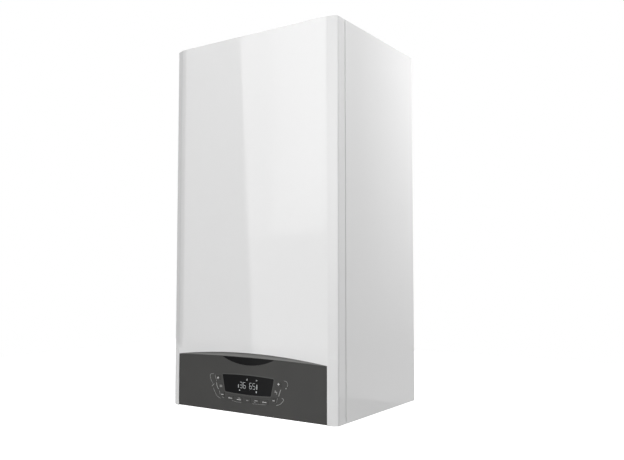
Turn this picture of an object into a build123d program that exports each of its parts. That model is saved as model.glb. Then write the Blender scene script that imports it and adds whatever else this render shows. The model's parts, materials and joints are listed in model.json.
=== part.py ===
from build123d import *
import os
from math import cos, radians, sin

# A wall-hung combi boiler: painted steel case, tilting control panel, sealed combustion circuit
# above a shelf and the water circuit below it.
# Frame: +Z up, +X to the right of someone who faces the boiler, the wall is the plane Y = 0 and the
# front looks along -Y. The origin lies on the wall, midway between the two wall screws.

os.makedirs("parts", exist_ok=True)

# ------------------------------------------------------------------ driving dimensions (mm)
# Case
casing_width = 400.0
casing_height = 745.0
casing_depth = 319.0
fixing_drop = 45.0  # wall screws below the lid
sheet = 1.0  # painted case sheet
frame_sheet = 1.5  # plated frame sheet
bend_radius = 2.0
bevel_width = 17.0  # slanted strip down each side of the front
bevel_depth = 8.0
fold_radius = 1.5
front_radius = 3.0
groove_width = 1.4  # narrow channel behind the fold, where the front is seamed to its returns
groove_depth = 2.4
seam_strip = 5.0
return_depth = 35.0  # front face to the seam
seam_gap = 2.0
casing_flange = 12.0
panel_flange = 13.0
running_gap = 0.3
fit_gap = 0.1
shaft_gap = 0.05

# Wall side
standoff = 14.0  # room between the wall and the back sheet
fixing_spacing = 220.0
fixing_hole = 8.5
bracket_sheet = 2.5
tongue_spacing = 120.0
tongue_width = 30.0

# Control panel
panel_width = 362.0
panel_foot = 1.5
panel_side_top = 105.5
panel_crown = 117.0
band_height = 7.5  # bevel under the crown of the arch
band_depth = 4.3
panel_gap = 0.5
panel_wall = 3.0
tray_depth = 22.0
tray_wall = 2.5
hinge_setback = 16.0
hinge_height = 13.0
trunnion_radius = 4.0
arm_inset = 14.0  # hinge arms inside the case's outer side
arm_sheet = 2.0
cover_sheet = 2.0
box_rear = 70.0  # control box, behind the front face
box_top = 88.0
box_inset = 16.0
window_wall = 3.0
board_setback = 7.6
board_sheet = 1.6
key_travel = 0.8
key_proud = 0.6
key_clearance = 0.25

# Plates that carry the works
floor_height = 62.0  # underside of the bottom plate
shelf_height = 431.5  # top of the exchanger shelf
shelf_rear = 103.0
shelf_front = 279.0
shelf_lip = 15.0

# Combustion circuit
vessel_width = 346.0
vessel_tall = 290.0
vessel_thickness = 84.0
vessel_height = 455.0
vessel_corner = 46.0
vessel_shoulder = 14.0
vessel_seam = 10.0
drum_x = 62.0
drum_height = 545.0
drum_radius = 104.0
drum_wall = 3.0
drum_rear = 104.0
drum_front = 205.0
door_width = 224.0
door_corner = 62.0
door_sheet = 8.0
burner_radius = 35.0
burner_reach = 85.0
flue_y = -135.0
flue_radius = 30.0
flue_wall = 1.5
air_radius = 50.0
collar_rise = 25.0
fan_x = -120.0
fan_rear = 212.0
fan_width = 34.0
fan_wall = 2.5
fan_throat = 44.0
fan_growth = 4.0
fan_reach = 58.0
fan_mouth = 34.0
fan_blades = 7
fan_wheel = 38.0
mixer_radius = 17.0
mixer_top = 600.0
mixer_foot = 520.0

# Water circuit
tail_y = -155.0
tail_spacing = 65.0
tail_end = 10.0
tail_top = 70.0
wide_thread = 13.2
narrow_thread = 10.5
pump_x = 137.0
pump_height = 155.0
pump_rear = 112.0
pump_front = 150.0
pump_wall = 3.0
pump_throat = 28.0
pump_growth = 2.0
pump_reach = 46.0
pump_mouth = 22.0
pump_wheel = 23.0
diverter_x = -110.0
diverter_height = 130.0
diverter_front = 200.0
spindle_travel = 6.0
plate_width = 190.0
plate_height = 74.0
plate_rear = 25.0
plate_front = 65.0
plate_foot = 80.0
plate_port = 75.0
low_port = 100.0
high_port = 134.0
pipe_radius = 9.0
gas_radius = 8.0
pipe_bend = 22.0
trap_x = 25.0
trap_y = -190.0
trap_radius = 23.0
trap_spigot = 10.0
trap_top = 200.0

# ------------------------------------------------------------------ places worked out from them
half_width = casing_width / 2
inner_half = half_width - sheet
top_z = fixing_drop
bottom_z = top_z - casing_height
front_y = -casing_depth
seam_y = front_y + return_depth
panel_y = seam_y + seam_gap
lid_z = top_z - frame_sheet
floor_z = bottom_z + floor_height
floor_top = floor_z + frame_sheet
floor_front = front_y + box_rear + 4.0
shelf_z = bottom_z + shelf_height
back_y = -(standoff + frame_sheet)
panel_half = panel_width / 2
hinge_y = front_y + hinge_setback
hinge_z = bottom_z + hinge_height
arm_x = half_width - arm_inset - arm_sheet
sides = (-1, 1)


def up(height):
    """Z of a height above the underside of the case."""
    return bottom_z + height


def facing_front(x, y, z):
    """A plane that looks out of the front: its x runs right and its y runs up."""
    return Plane(origin=(x, y, z), x_dir=(1, 0, 0), z_dir=(0, -1, 0))


def rod(start, end, radius, mode=Mode.ADD):
    """A round bar or bore from start to end."""
    run = Vector(*end) - Vector(*start)
    with BuildSketch(Plane(origin=start, z_dir=run)) as section:
        Circle(radius)
    extrude(section.sketch, amount=run.length, mode=mode)


def block(low, high, mode=Mode.ADD):
    """A square-edged block between two corners."""
    size = [b - a for a, b in zip(low, high)]
    middle = tuple((a + b) / 2 for a, b in zip(low, high))
    with Locations(middle):
        Box(*size, mode=mode)


def folded(plane, corners, radii, thickness, side, length):
    """A folded sheet: an open outline, thickened to one side and drawn out straight."""
    with BuildSketch(plane) as section:
        with BuildLine():
            FilletPolyline(*corners, radius=radii)
            offset(amount=thickness, side=side)
        make_face()
    extrude(section.sketch, amount=length)


def bent_tube(corners, radii, outer):
    """A pipe along straight runs joined by arcs."""
    with BuildLine() as route:
        FilletPolyline(*corners, radius=radii)
    with BuildSketch(Plane(origin=corners[0], z_dir=route.line % 0)) as section:
        Circle(outer)
    sweep(section.sketch, path=route.line)


def clipped(width, height, corner):
    """A rectangle with its corners cut off, in the sketch that is being drawn."""
    x, y = width / 2, height / 2
    with BuildLine() as outline:
        Polyline(
            (x, y - corner),
            (x - corner, y),
            (corner - x, y),
            (-x, y - corner),
            (-x, corner - y),
            (corner - x, -y),
            (x - corner, -y),
            (x, corner - y),
            close=True,
        )
    make_face(outline.edges())


def volute(throat, growth, reach, mouth, wall=0.0):
    """Spiral case outline: three quarter arcs, each wider than the last, and a straight mouth."""
    crown = throat + 3 * growth - wall
    sill = throat + 3 * growth - mouth + wall
    with BuildSketch() as outline:
        with BuildLine():
            first = CenterArc((0, 0), throat - wall, 0, -90)
            CenterArc((0, growth), throat + growth - wall, -90, -90)
            CenterArc((growth, growth), throat + 2 * growth - wall, 180, -90)
            Polyline((growth, crown), (reach, crown), (reach, sill), (throat - wall, sill), first @ 0)
        make_face()
    return outline.sketch


def keep(piece, label):
    """Name a finished piece and write it."""
    piece.part.label = label
    export_step(piece.part, f"parts/{label}.step")


# ------------------------------------------------------------------ case
leg_inner = panel_half + panel_gap
foot_inner = arm_x + arm_sheet + 1.5
foot_z = up(6.0)
tab_z = foot_z + sheet + running_gap
screw_x = half_width - 7.5
screw_y = seam_y - 7.0
screw_radius = 2.0
pin_x = 120.0
pin_z = top_z - 7.0
pin_half = 9.0
groove_y = front_y + bevel_depth + fold_radius + groove_width / 2


def casing_plan():
    """Plan of the front casing, as a filled outline."""
    with BuildSketch() as plan:
        with BuildLine():
            FilletPolyline(
                (-half_width, seam_y),
                (-half_width, front_y + bevel_depth),
                (-half_width + bevel_width, front_y),
                (half_width - bevel_width, front_y),
                (half_width, front_y + bevel_depth),
                (half_width, seam_y),
                radius=[fold_radius, front_radius, front_radius, fold_radius],
            )
            Line((half_width, seam_y), (-half_width, seam_y))
        make_face()
    return plan.sketch


def fascia_face(inset=0.0):
    """Front of the control panel: straight foot and sides under a shallow arch."""
    half = panel_half - inset
    with BuildSketch() as face:
        with BuildLine():
            foot = Line((-half, panel_foot + inset), (half, panel_foot + inset))
            side = Line(foot @ 1, (half, panel_side_top - inset))
            crown = ThreePointArc(side @ 1, (0, panel_crown - inset), (-half, panel_side_top - inset))
            Line(crown @ 1, foot @ 0)
        make_face()
    return face.sketch


with BuildPart() as front_casing:
    folded(
        Plane.XY.offset(bottom_z),
        [
            (-half_width + casing_flange, seam_y),
            (-half_width, seam_y),
            (-half_width, front_y + bevel_depth),
            (-half_width + bevel_width, front_y),
            (half_width - bevel_width, front_y),
            (half_width, front_y + bevel_depth),
            (half_width, seam_y),
            (half_width - casing_flange, seam_y),
        ],
        [bend_radius, fold_radius, front_radius, front_radius, fold_radius, bend_radius],
        sheet,
        Side.LEFT,
        casing_height,
    )
    with BuildSketch(Plane.XY.offset(top_z - sheet)):
        add(casing_plan())
    extrude(amount=sheet)
    block((-inner_half, seam_y - sheet, top_z - casing_flange), (inner_half, seam_y, top_z - sheet / 2))
    with BuildSketch(Plane.XY.offset(foot_z)):
        add(casing_plan())
        Rectangle(2 * foot_inner, 2 * casing_depth, mode=Mode.SUBTRACT)
    extrude(amount=sheet)
    # opening for the control panel, open at its foot
    with BuildSketch(facing_front(0, front_y - sheet, bottom_z)):
        add(fascia_face(-panel_gap))
        with Locations((0, 0)):
            Rectangle(2 * leg_inner, 2 * panel_foot + 2.0)
    extrude(amount=-(2 * sheet + 1.0), mode=Mode.SUBTRACT)
    for side in sides:
        x = side * screw_x
        block(
            (min(x - 7, x + 6.5), seam_y - sheet - 1, bottom_z - 1),
            (max(x - 7, x + 6.5), seam_y + 1, up(12)),
            mode=Mode.SUBTRACT,
        )
        rod((x, screw_y, foot_z - 1), (x, screw_y, foot_z + sheet + 1), screw_radius + 0.15, Mode.SUBTRACT)
        block(
            (side * pin_x - pin_half, seam_y - sheet / 2, pin_z - sheet / 2),
            (side * pin_x + pin_half, seam_y + 9, pin_z + sheet / 2),
        )
        # lock seam behind each fold: a doubled strip with an open channel
        wall_x, strip_x = side * (half_width - sheet / 2), side * (half_width - groove_depth - sheet)
        block(
            (min(wall_x, strip_x), groove_y - seam_strip / 2, bottom_z),
            (max(wall_x, strip_x), groove_y + seam_strip / 2, top_z - sheet / 2),
        )
        mouth_x, floor_x = side * (half_width + 1), side * (half_width - groove_depth)
        block(
            (min(mouth_x, floor_x), groove_y - groove_width / 2, bottom_z - 1),
            (max(mouth_x, floor_x), groove_y + groove_width / 2, top_z + 1),
            mode=Mode.SUBTRACT,
        )
keep(front_casing, "front_casing")

with BuildPart() as casing_screws:
    for side in sides:
        x = side * screw_x
        with BuildSketch(Plane(origin=(x, screw_y, foot_z - 2.4))):
            RegularPolygon(4.0, 6)
        extrude(amount=2.4)
        rod((x, screw_y, foot_z - 0.1), (x, screw_y, foot_z + 9.0), screw_radius)
keep(casing_screws, "casing_screws")


def side_panel(side):
    """One side of the case, with folded edges and the slotted tab for the casing screw."""
    with BuildPart() as panel:
        folded(
            Plane.XY.offset(bottom_z),
            [(side * half_width, 0), (side * half_width, panel_y), (side * (half_width - panel_flange), panel_y)],
            [bend_radius],
            sheet,
            Side.RIGHT if side > 0 else Side.LEFT,
            casing_height,
        )
        edge_x, hem_x = side * (half_width - sheet / 2), side * (half_width - 12)
        block(
            (min(edge_x, hem_x), panel_y + sheet / 2, bottom_z),
            (max(edge_x, hem_x), -2.0, bottom_z + sheet),
        )
        tab = (side * (screw_x - 5), side * (screw_x + 5))
        block((min(tab), panel_y - 15, tab_z), (max(tab), panel_y + sheet, tab_z + sheet))
        slot_half = screw_radius + running_gap
        block(
            (side * screw_x - slot_half, panel_y - 16, tab_z - 1),
            (side * screw_x + slot_half, screw_y, tab_z + 2),
            mode=Mode.SUBTRACT,
        )
        rod((side * screw_x, screw_y, tab_z - 1), (side * screw_x, screw_y, tab_z + 2), slot_half, Mode.SUBTRACT)
    return panel


keep(side_panel(-1), "left_side_panel")
keep(side_panel(1), "right_side_panel")

with BuildPart() as top_plate:
    folded(
        Plane.YZ.offset(-inner_half),
        [(0, top_z), (panel_y, top_z), (panel_y, top_z - 25)],
        [bend_radius],
        frame_sheet,
        Side.LEFT,
        2 * inner_half,
    )
    with Locations((0, flue_y, top_z)):
        Hole(air_radius)
    for side in sides:
        block(
            (side * pin_x - pin_half - 1, panel_y - 1, pin_z - sheet / 2 - running_gap),
            (side * pin_x + pin_half + 1, panel_y + frame_sheet + 1, pin_z + sheet / 2 + running_gap),
            mode=Mode.SUBTRACT,
        )
        block(
            (min(side * inner_half, side * (half_width - panel_flange - 1)), panel_y - 1, top_z - 26),
            (max(side * inner_half, side * (half_width - panel_flange - 1)), panel_y + 2.5, top_z + 1),
            mode=Mode.SUBTRACT,
        )
keep(top_plate, "top_plate")

# ------------------------------------------------------------------ frame on the wall
slot_top = 16.5
slot_drop = 12.5
hook_rise = 9.5
frame_foot = floor_top
frame_height = lid_z - frame_foot
swage_x = half_width - 15.5
swage_depth = 3.0

with BuildPart() as rear_frame:
    with BuildSketch(facing_front(0, 0, (lid_z + frame_foot) / 2)):
        Rectangle(2 * inner_half, frame_height)
    extrude(amount=-back_y)
    fillet(rear_frame.edges().filter_by(Axis.Y, reverse=True).group_by(Axis.Y)[0], radius=bend_radius)
    with BuildSketch(facing_front(0, 0, (lid_z + frame_foot) / 2)):
        Rectangle(2 * (inner_half - frame_sheet), frame_height - 2 * frame_sheet)
    extrude(amount=standoff, mode=Mode.SUBTRACT)
    for side in sides:
        # long pressed swages stiffen the back sheet outside the vessel
        with BuildSketch(facing_front(side * swage_x, back_y, (lid_z + frame_foot) / 2)):
            Rectangle(12, frame_height - 90)
        extrude(amount=swage_depth)
        with BuildSketch(facing_front(side * swage_x, -standoff, (lid_z + frame_foot) / 2)):
            Rectangle(9, frame_height - 93)
        extrude(amount=swage_depth, mode=Mode.SUBTRACT)
        x = side * tongue_spacing / 2
        block(
            (x - tongue_width / 2 - 1.5, back_y - 1, slot_top - slot_drop),
            (x + tongue_width / 2 + 1.5, -standoff + 1, slot_top),
            mode=Mode.SUBTRACT,
        )
keep(rear_frame, "rear_frame")

with BuildPart() as wall_bracket:
    with BuildSketch(facing_front(0, 0, 0)):
        clipped(fixing_spacing + 60, 44, 6)
        with GridLocations(fixing_spacing, 1, 2, 1):
            Circle(fixing_hole / 2, mode=Mode.SUBTRACT)
    extrude(amount=bracket_sheet)
    # two hooks reach through the back sheet and up behind it
    hook_y = back_y - running_gap - bracket_sheet
    for side in sides:
        low_x, high_x = side * tongue_spacing / 2 - tongue_width / 2, side * tongue_spacing / 2 + tongue_width / 2
        block((low_x, hook_y, slot_top - bracket_sheet), (high_x, -bracket_sheet / 2, slot_top))
        block((low_x, hook_y, slot_top - bracket_sheet), (high_x, hook_y + bracket_sheet, slot_top + hook_rise))
keep(wall_bracket, "wall_bracket")

tail_xs = [i * tail_spacing for i in (-2, -1, 0, 1, 2)]
tail_threads = [wide_thread, narrow_thread, wide_thread, narrow_thread, wide_thread]
lever_x = 101.0
lever_y = -130.0
relief_x = 162.0
relief_y = -120.0

with BuildPart() as bottom_plate:
    with BuildSketch(Plane.XY.offset(floor_z)):
        with Locations((0, floor_front / 2)):
            Rectangle(2 * inner_half, -floor_front)
        with Locations((0, tail_y)):
            Rectangle(2 * (2 * tail_spacing + wide_thread + 6), 2 * wide_thread + 10, mode=Mode.SUBTRACT)
        with Locations((trap_x, trap_y)):
            Rectangle(2 * trap_spigot + 8, 2 * trap_spigot + 8, mode=Mode.SUBTRACT)
        with Locations((lever_x, lever_y), (relief_x, relief_y)):
            Rectangle(18, 18, mode=Mode.SUBTRACT)
    extrude(amount=frame_sheet)
    block((-arm_x + 1, floor_front, floor_z - 10), (arm_x - 1, floor_front + frame_sheet, floor_z + 0.5))
    for side in sides:
        # hinge arms reach forward inside the legs of the casing
        inner, outer = side * arm_x, side * (arm_x + arm_sheet)
        with BuildSketch(Plane.YZ.offset(min(inner, outer))):
            with BuildLine():
                Polyline(
                    (floor_front + 50, floor_top),
                    (floor_front, floor_top),
                    (hinge_y - 8, hinge_z + 6),
                    (hinge_y - 8, hinge_z - 4),
                    (hinge_y - 4, hinge_z - 8),
                    (hinge_y + 6, hinge_z - 8),
                    (floor_front + 50, floor_z - 12),
                    close=True,
                )
            make_face()
            with Locations((hinge_y, hinge_z)):
                Circle(trunnion_radius + shaft_gap, mode=Mode.SUBTRACT)
        extrude(amount=arm_sheet)
keep(bottom_plate, "bottom_plate")

# ------------------------------------------------------------------ control panel
front_plane = facing_front(0, front_y, bottom_z)
plus_keys = {"heating_plus_key": (-74.5, 64.5), "water_plus_key": (74.5, 64.5)}
minus_keys = {"heating_minus_key": (-63.0, 33.0), "water_minus_key": (63.0, 33.0)}
row_keys = {
    "menu_key": (-42.0, 28.0),
    "timer_key": (-21.0, 28.0),
    "reset_key": (0.0, 28.0),
    "boost_key": (21.0, 28.0),
    "power_key": (42.0, 28.0),
}
key_size = {name: (11.0, 9.0) for name in (*plus_keys, *minus_keys)} | {name: (16.0, 8.0) for name in row_keys}
key_places = plus_keys | minus_keys | row_keys
boss_places = [(-98, 22), (98, 22), (-98, 92), (98, 92)]


def band_arc_height(x):
    """Height of the lower edge of the bevel band, an arc through both ends of the crown."""
    rise = panel_crown - band_height - panel_side_top
    radius = (panel_half**2 + rise**2) / (2 * rise)
    return panel_side_top + rise - radius + (radius**2 - x**2) ** 0.5


def window_face():
    """Display window: a shallow bow above and below, sides drawn in towards the foot."""
    with BuildSketch() as face:
        with BuildLine():
            head = ThreePointArc((-63, 72.5), (0, 74.5), (63, 72.5))
            side = Line(head @ 1, (56, 40))
            foot = ThreePointArc(side @ 1, (0, 38), (-56, 40))
            Line(foot @ 1, head @ 0)
        make_face()
        chamfer(face.vertices(), length=1.2)
    return face.sketch


def badge_face():
    """Boat-shaped piece under the bevel band."""
    tip = 64.0
    with BuildSketch() as face:
        with BuildLine():
            head = ThreePointArc(
                (-tip, band_arc_height(tip) - 1.0), (0, band_arc_height(0) - 1.0), (tip, band_arc_height(tip) - 1.0)
            )
            ThreePointArc(head @ 1, (0, 94.0), head @ 0)
        make_face()
    return face.sketch


badge_depth = 1.0
lens_flange = 1.0
window_back = window_wall + 1.2
key_stop = panel_wall + 0.1

with BuildPart() as control_fascia:
    with BuildSketch(front_plane):
        add(fascia_face())
    extrude(amount=-tray_depth)
    # bevel band: all that lies above the lower arc, cut back along the bevel's slope
    with BuildSketch(front_plane) as band:
        with BuildLine():
            arc = ThreePointArc(
                (-panel_half, panel_side_top),
                (0, panel_crown - band_height),
                (panel_half, panel_side_top),
            )
            Polyline(arc @ 1, (panel_half + 1, panel_side_top), (panel_half + 1, panel_crown + 9))
            Polyline((panel_half + 1, panel_crown + 9), (-panel_half - 1, panel_crown + 9))
            Polyline((-panel_half - 1, panel_crown + 9), (-panel_half - 1, panel_side_top), arc @ 0)
        make_face()
    extrude(band.sketch, amount=10, dir=(0, band_depth, band_height), mode=Mode.SUBTRACT)
    with BuildSketch(facing_front(0, front_y + tray_depth, bottom_z)):
        add(fascia_face(tray_wall))
    extrude(amount=tray_depth - panel_wall - band_depth, mode=Mode.SUBTRACT)
    with BuildSketch(facing_front(0, front_y + panel_wall + band_depth, bottom_z)):
        with BuildLine():
            low = panel_foot + tray_wall
            half = panel_half - tray_wall
            drop = panel_wall + 1.0
            crown = ThreePointArc(
                (half, panel_side_top - drop), (0, panel_crown - band_height - drop), (-half, panel_side_top - drop)
            )
            Polyline(crown @ 1, (-half, low), (half, low), crown @ 0)
        make_face()
    extrude(amount=band_depth, mode=Mode.SUBTRACT)
    for x, height in boss_places:
        block(
            (x - 3, front_y + panel_wall - 0.5, up(height - 3)),
            (x + 3, front_y + board_setback, up(height + 3)),
        )
    with BuildSketch(front_plane):
        add(window_face())
        offset(amount=fit_gap)
    extrude(amount=-(window_wall + 1), mode=Mode.SUBTRACT)
    with BuildSketch(front_plane):
        add(badge_face())
        offset(amount=fit_gap)
    extrude(amount=-badge_depth, mode=Mode.SUBTRACT)
    with BuildSketch(front_plane):
        for name, place in key_places.items():
            wide, tall = key_size[name]
            with Locations(place):
                Rectangle(wide + 2 * key_clearance, tall + 2 * key_clearance)
    extrude(amount=-(panel_wall + 1), mode=Mode.SUBTRACT)
    for side in sides:
        rod(
            (side * (panel_half - tray_wall / 2), hinge_y, hinge_z),
            (side * (arm_x + arm_sheet + 1), hinge_y, hinge_z),
            trunnion_radius,
        )
keep(control_fascia, "control_fascia")

with BuildPart() as display_window:
    with BuildSketch(front_plane):
        add(window_face())
    extrude(amount=-window_back)
    with BuildSketch(facing_front(0, front_y + panel_wall, bottom_z)):
        add(window_face())
        offset(amount=lens_flange)
    extrude(amount=-(window_back - window_wall))
keep(display_window, "display_window")

with BuildPart() as badge_insert:
    with BuildSketch(front_plane):
        add(badge_face())
    extrude(amount=-badge_depth)
keep(badge_insert, "badge_insert")

with BuildPart() as display_module:
    with BuildSketch(facing_front(0, front_y + board_setback, up(56))):
        Rectangle(106, 30)
    extrude(amount=board_setback - window_back - running_gap)
keep(display_module, "display_module")

for name, place in key_places.items():
    wide, tall = key_size[name]
    key_plane = facing_front(place[0], front_y, up(place[1]))
    with BuildPart() as key:
        with BuildSketch(key_plane):
            Rectangle(wide, tall)
        extrude(amount=key_proud, taper=25)
        with BuildSketch(key_plane):
            Rectangle(wide, tall)
        extrude(amount=-key_stop)
        with BuildSketch(key_plane.offset(-key_stop)):
            Rectangle(wide + 2, tall + 2)
        extrude(amount=-1.0)
        with BuildSketch(key_plane.offset(-key_stop - 1.0)):
            Rectangle(4, 3)
        extrude(amount=-1.0)
    keep(key, name)

switch_height = 1.6
with BuildPart() as control_boards:
    # key board, screwed to the bosses behind the fascia
    with BuildSketch(facing_front(0, front_y + board_setback, up(57))):
        Rectangle(206, 82)
    extrude(amount=-board_sheet)
    for name, place in key_places.items():
        block(
            (place[0] - 3, front_y + board_setback - switch_height, up(place[1]) - 3),
            (place[0] + 3, front_y + board_setback + 0.2, up(place[1]) + 3),
        )
    # main board in the control box
    with BuildSketch(facing_front(0, front_y + box_rear - 7.1, up(46))):
        Rectangle(300, 62)
    extrude(amount=board_sheet)
    components = [
        (-120, 48, 40, 46, 28),
        (-66, 40, 30, 24, 18),
        (-20, 62, 44, 16, 14),
        (40, 34, 60, 14, 12),
        (110, 56, 34, 30, 20),
    ]
    for x, height, wide, tall, deep in components:
        with BuildSketch(facing_front(x, front_y + box_rear - 7.3, up(height))):
            Rectangle(wide, tall)
        extrude(amount=deep + board_sheet)
keep(control_boards, "control_boards")

box_half = panel_half - box_inset
box_wall = 2.5
box_foot = 8.0


def box_profile(inset=0.0):
    """Side view of the control box; its cavity is open towards the fascia."""
    mouth = front_y + tray_depth - inset
    rear = front_y + box_rear - inset
    foot, head = up(box_foot + inset), up(box_top - inset)
    with BuildSketch() as profile:
        with BuildLine():
            walls = FilletPolyline(
                (mouth, foot), (rear, foot), (rear, head - 10), (rear - 10, head), (mouth, head), radius=[4, 4, 4]
            )
            Line(walls @ 1, walls @ 0)
        make_face()
    return profile.sketch


with BuildPart() as control_box:
    with BuildSketch(facing_front(0, front_y + tray_depth, bottom_z)):
        add(fascia_face(0.6))
    extrude(amount=-cover_sheet)
    with BuildSketch(Plane.YZ.offset(-box_half)):
        add(box_profile())
    extrude(amount=2 * box_half)
    with BuildSketch(Plane.YZ.offset(-box_half + box_wall)):
        add(box_profile(box_wall))
    extrude(amount=2 * (box_half - box_wall), mode=Mode.SUBTRACT)
    # seats that carry the main board
    for x, height in [(-140, 22), (140, 22), (-140, 74), (140, 74)]:
        block(
            (x - 4, front_y + box_rear - 7.1, up(height) - 4),
            (x + 4, front_y + box_rear - box_wall + 0.5, up(height) + 4),
        )
keep(control_box, "control_box")

# ------------------------------------------------------------------ combustion circuit, above the shelf
drum_z = up(drum_height)
drum_bore = drum_radius - drum_wall
stub_spacing = 52.0
stub_y = -(pump_rear + pump_front) / 2
port_x = 105.0
stub_end = shelf_z - 6.5
exhaust_seat = drum_z + 102.0
stud_circle = 106.0

mixer_y = -fan_rear - fan_width - mixer_radius - running_gap

with BuildPart() as exchanger_shelf:
    folded(
        Plane.YZ.offset(-inner_half),
        [
            (-shelf_rear, shelf_z - shelf_lip),
            (-shelf_rear, shelf_z),
            (-shelf_front, shelf_z),
            (-shelf_front, shelf_z - shelf_lip),
        ],
        [bend_radius, bend_radius],
        frame_sheet,
        Side.LEFT,
        2 * inner_half,
    )
    with BuildSketch(Plane.XY.offset(shelf_z)):
        with Locations((drum_x - stub_spacing, stub_y), (drum_x + stub_spacing, stub_y), (trap_x, trap_y)):
            Rectangle(2 * pipe_radius + 8, 2 * pipe_radius + 8)
        with Locations((fan_x, mixer_y)):
            Rectangle(2 * gas_radius + 8, 2 * gas_radius + 8)
    extrude(amount=-2 * frame_sheet, mode=Mode.SUBTRACT)
keep(exchanger_shelf, "exchanger_shelf")

vessel_y = back_y - vessel_thickness / 2
vessel_foot = up(vessel_height - vessel_tall / 2)
hose_top = vessel_foot - 10.0

with BuildPart() as expansion_vessel:
    # two pressed halves with sloping shoulders, joined at a rolled seam
    lip = 5.0
    with BuildSketch(facing_front(0, back_y, up(vessel_height))):
        clipped(vessel_width - 2 * lip, vessel_tall - 2 * lip, vessel_corner - lip)
    extrude(amount=vessel_thickness)
    chamfer(expansion_vessel.faces().filter_by(Axis.Y).edges(), length=vessel_shoulder)
    with BuildSketch(facing_front(0, vessel_y + vessel_seam / 2, up(vessel_height))):
        clipped(vessel_width, vessel_tall, vessel_corner)
    extrude(amount=vessel_seam)
    rod((port_x, vessel_y, vessel_foot + lip + 1), (port_x, vessel_y, hose_top), 8.0)
keep(expansion_vessel, "expansion_vessel")

with BuildPart() as exchanger_drum:
    with BuildSketch(facing_front(drum_x, -drum_rear, drum_z)):
        Circle(drum_radius)
    extrude(amount=drum_front - drum_rear)
    with BuildSketch(facing_front(drum_x, -drum_front + 4, drum_z)):
        clipped(door_width, door_width, door_corner)
    extrude(amount=4)
    # neck under the flue duct, and the sump that stands on the shelf
    block((-33, -drum_rear - 61, drum_z + 40), (33, -drum_rear - 1, exhaust_seat))
    block((drum_x - 62, -drum_front + 2, shelf_z), (drum_x + 62, -drum_rear - 8, drum_z - 70))
    for x, y in ((drum_x - stub_spacing, stub_y), (drum_x + stub_spacing, stub_y), (trap_x, trap_y)):
        rod((x, y, shelf_z + 1), (x, y, stub_end), pipe_radius)
    with BuildSketch(facing_front(drum_x, -drum_rear - drum_wall, drum_z)):
        Circle(drum_bore)
    extrude(amount=drum_front - drum_rear, mode=Mode.SUBTRACT)
    block((-25, -drum_rear - 56, drum_z + 65), (25, -drum_rear - 6, exhaust_seat + 1), mode=Mode.SUBTRACT)
keep(exchanger_drum, "exchanger_drum")

with BuildPart() as burner_tube:
    with BuildSketch(facing_front(drum_x, -drum_front, drum_z)):
        Circle(burner_radius)
    extrude(amount=-burner_reach)
    with BuildSketch(facing_front(drum_x, -drum_front, drum_z)):
        Circle(burner_radius - 1)
    extrude(amount=-(burner_reach - 1), mode=Mode.SUBTRACT)
keep(burner_tube, "burner_tube")

electrode_drop = 56.0
electrode_window = (30.0, 9.0)

with BuildPart() as door_insulation:
    with BuildSketch(facing_front(drum_x, -drum_front, drum_z)):
        Circle(drum_bore - running_gap)
        Circle(burner_radius + running_gap, mode=Mode.SUBTRACT)
        with Locations((0, -electrode_drop)):
            Rectangle(*electrode_window, mode=Mode.SUBTRACT)
    extrude(amount=-10)
keep(door_insulation, "door_insulation")

fan_z = up(drum_height + 3.0)
fan_crown = fan_throat + 3 * fan_growth
neck_top = fan_z + fan_crown
neck_low = neck_top - fan_mouth
neck_start = fan_x + fan_reach
bowl_radius = 31.0
sweep_radius = 62.0

with BuildPart() as burner_door:
    with BuildSketch(facing_front(drum_x, -drum_front, drum_z)):
        clipped(door_width, door_width, door_corner)
        with Locations((0, -electrode_drop)):
            Rectangle(*electrode_window, mode=Mode.SUBTRACT)
    extrude(amount=door_sheet)
    # cast gooseneck from the fan's mouth round to the middle of the door
    with BuildSketch(facing_front(0, -drum_front - door_sheet + 0.5, 0)):
        with BuildLine():
            outer_x = drum_x + bowl_radius
            head = Line((neck_start, neck_top), (outer_x - sweep_radius, neck_top))
            bend = ThreePointArc(
                head @ 1,
                (
                    outer_x - sweep_radius + sweep_radius * sin(radians(45)),
                    drum_z + (neck_top - drum_z) * cos(radians(45)),
                ),
                (outer_x, drum_z),
            )
            bowl = ThreePointArc(bend @ 1, (drum_x, drum_z - bowl_radius), (drum_x - bowl_radius, drum_z))
            inner = Polyline(
                bowl @ 1,
                (drum_x - bowl_radius, neck_low - 8),
                (drum_x - bowl_radius - 8, neck_low),
                (neck_start, neck_low),
            )
            Line(inner @ 1, head @ 0)
        make_face()
    extrude(amount=fan_rear + fan_width - drum_front - door_sheet - 2)
    block(
        (neck_start, -fan_rear - fan_width + 1.5, neck_low - 8),
        (neck_start + 4, -drum_front - door_sheet - 1.5, neck_top + 8),
    )
keep(burner_door, "burner_door")

with BuildPart() as door_bolts:
    for step in range(6):
        x = drum_x + stud_circle * cos(radians(60 * step))
        z = drum_z + stud_circle * sin(radians(60 * step))
        with BuildSketch(facing_front(x, -drum_front - door_sheet, z)):
            RegularPolygon(4.6, 6)
        extrude(amount=4)
keep(door_bolts, "door_bolts")

with BuildPart() as electrodes:
    plate_z = drum_z - electrode_drop
    with BuildSketch(facing_front(drum_x, -drum_front - door_sheet, plate_z)):
        clipped(38, 15, 4)
    extrude(amount=1.5)
    for x in (drum_x - 9, drum_x + 9):
        rod((x, -drum_front - door_sheet - 1, plate_z), (x, -drum_front - door_sheet - 18, plate_z), 4.0)
        with BuildSketch(facing_front(x, -drum_front - door_sheet, plate_z)):
            RegularPolygon(1.5, 6)
        extrude(amount=-44)
keep(electrodes, "electrodes")

fan_hub_gap = 1.5
motor_radius = 34.0
motor_length = 50.0
fan_shaft = 3.0
eye_radius = 17.0

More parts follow.
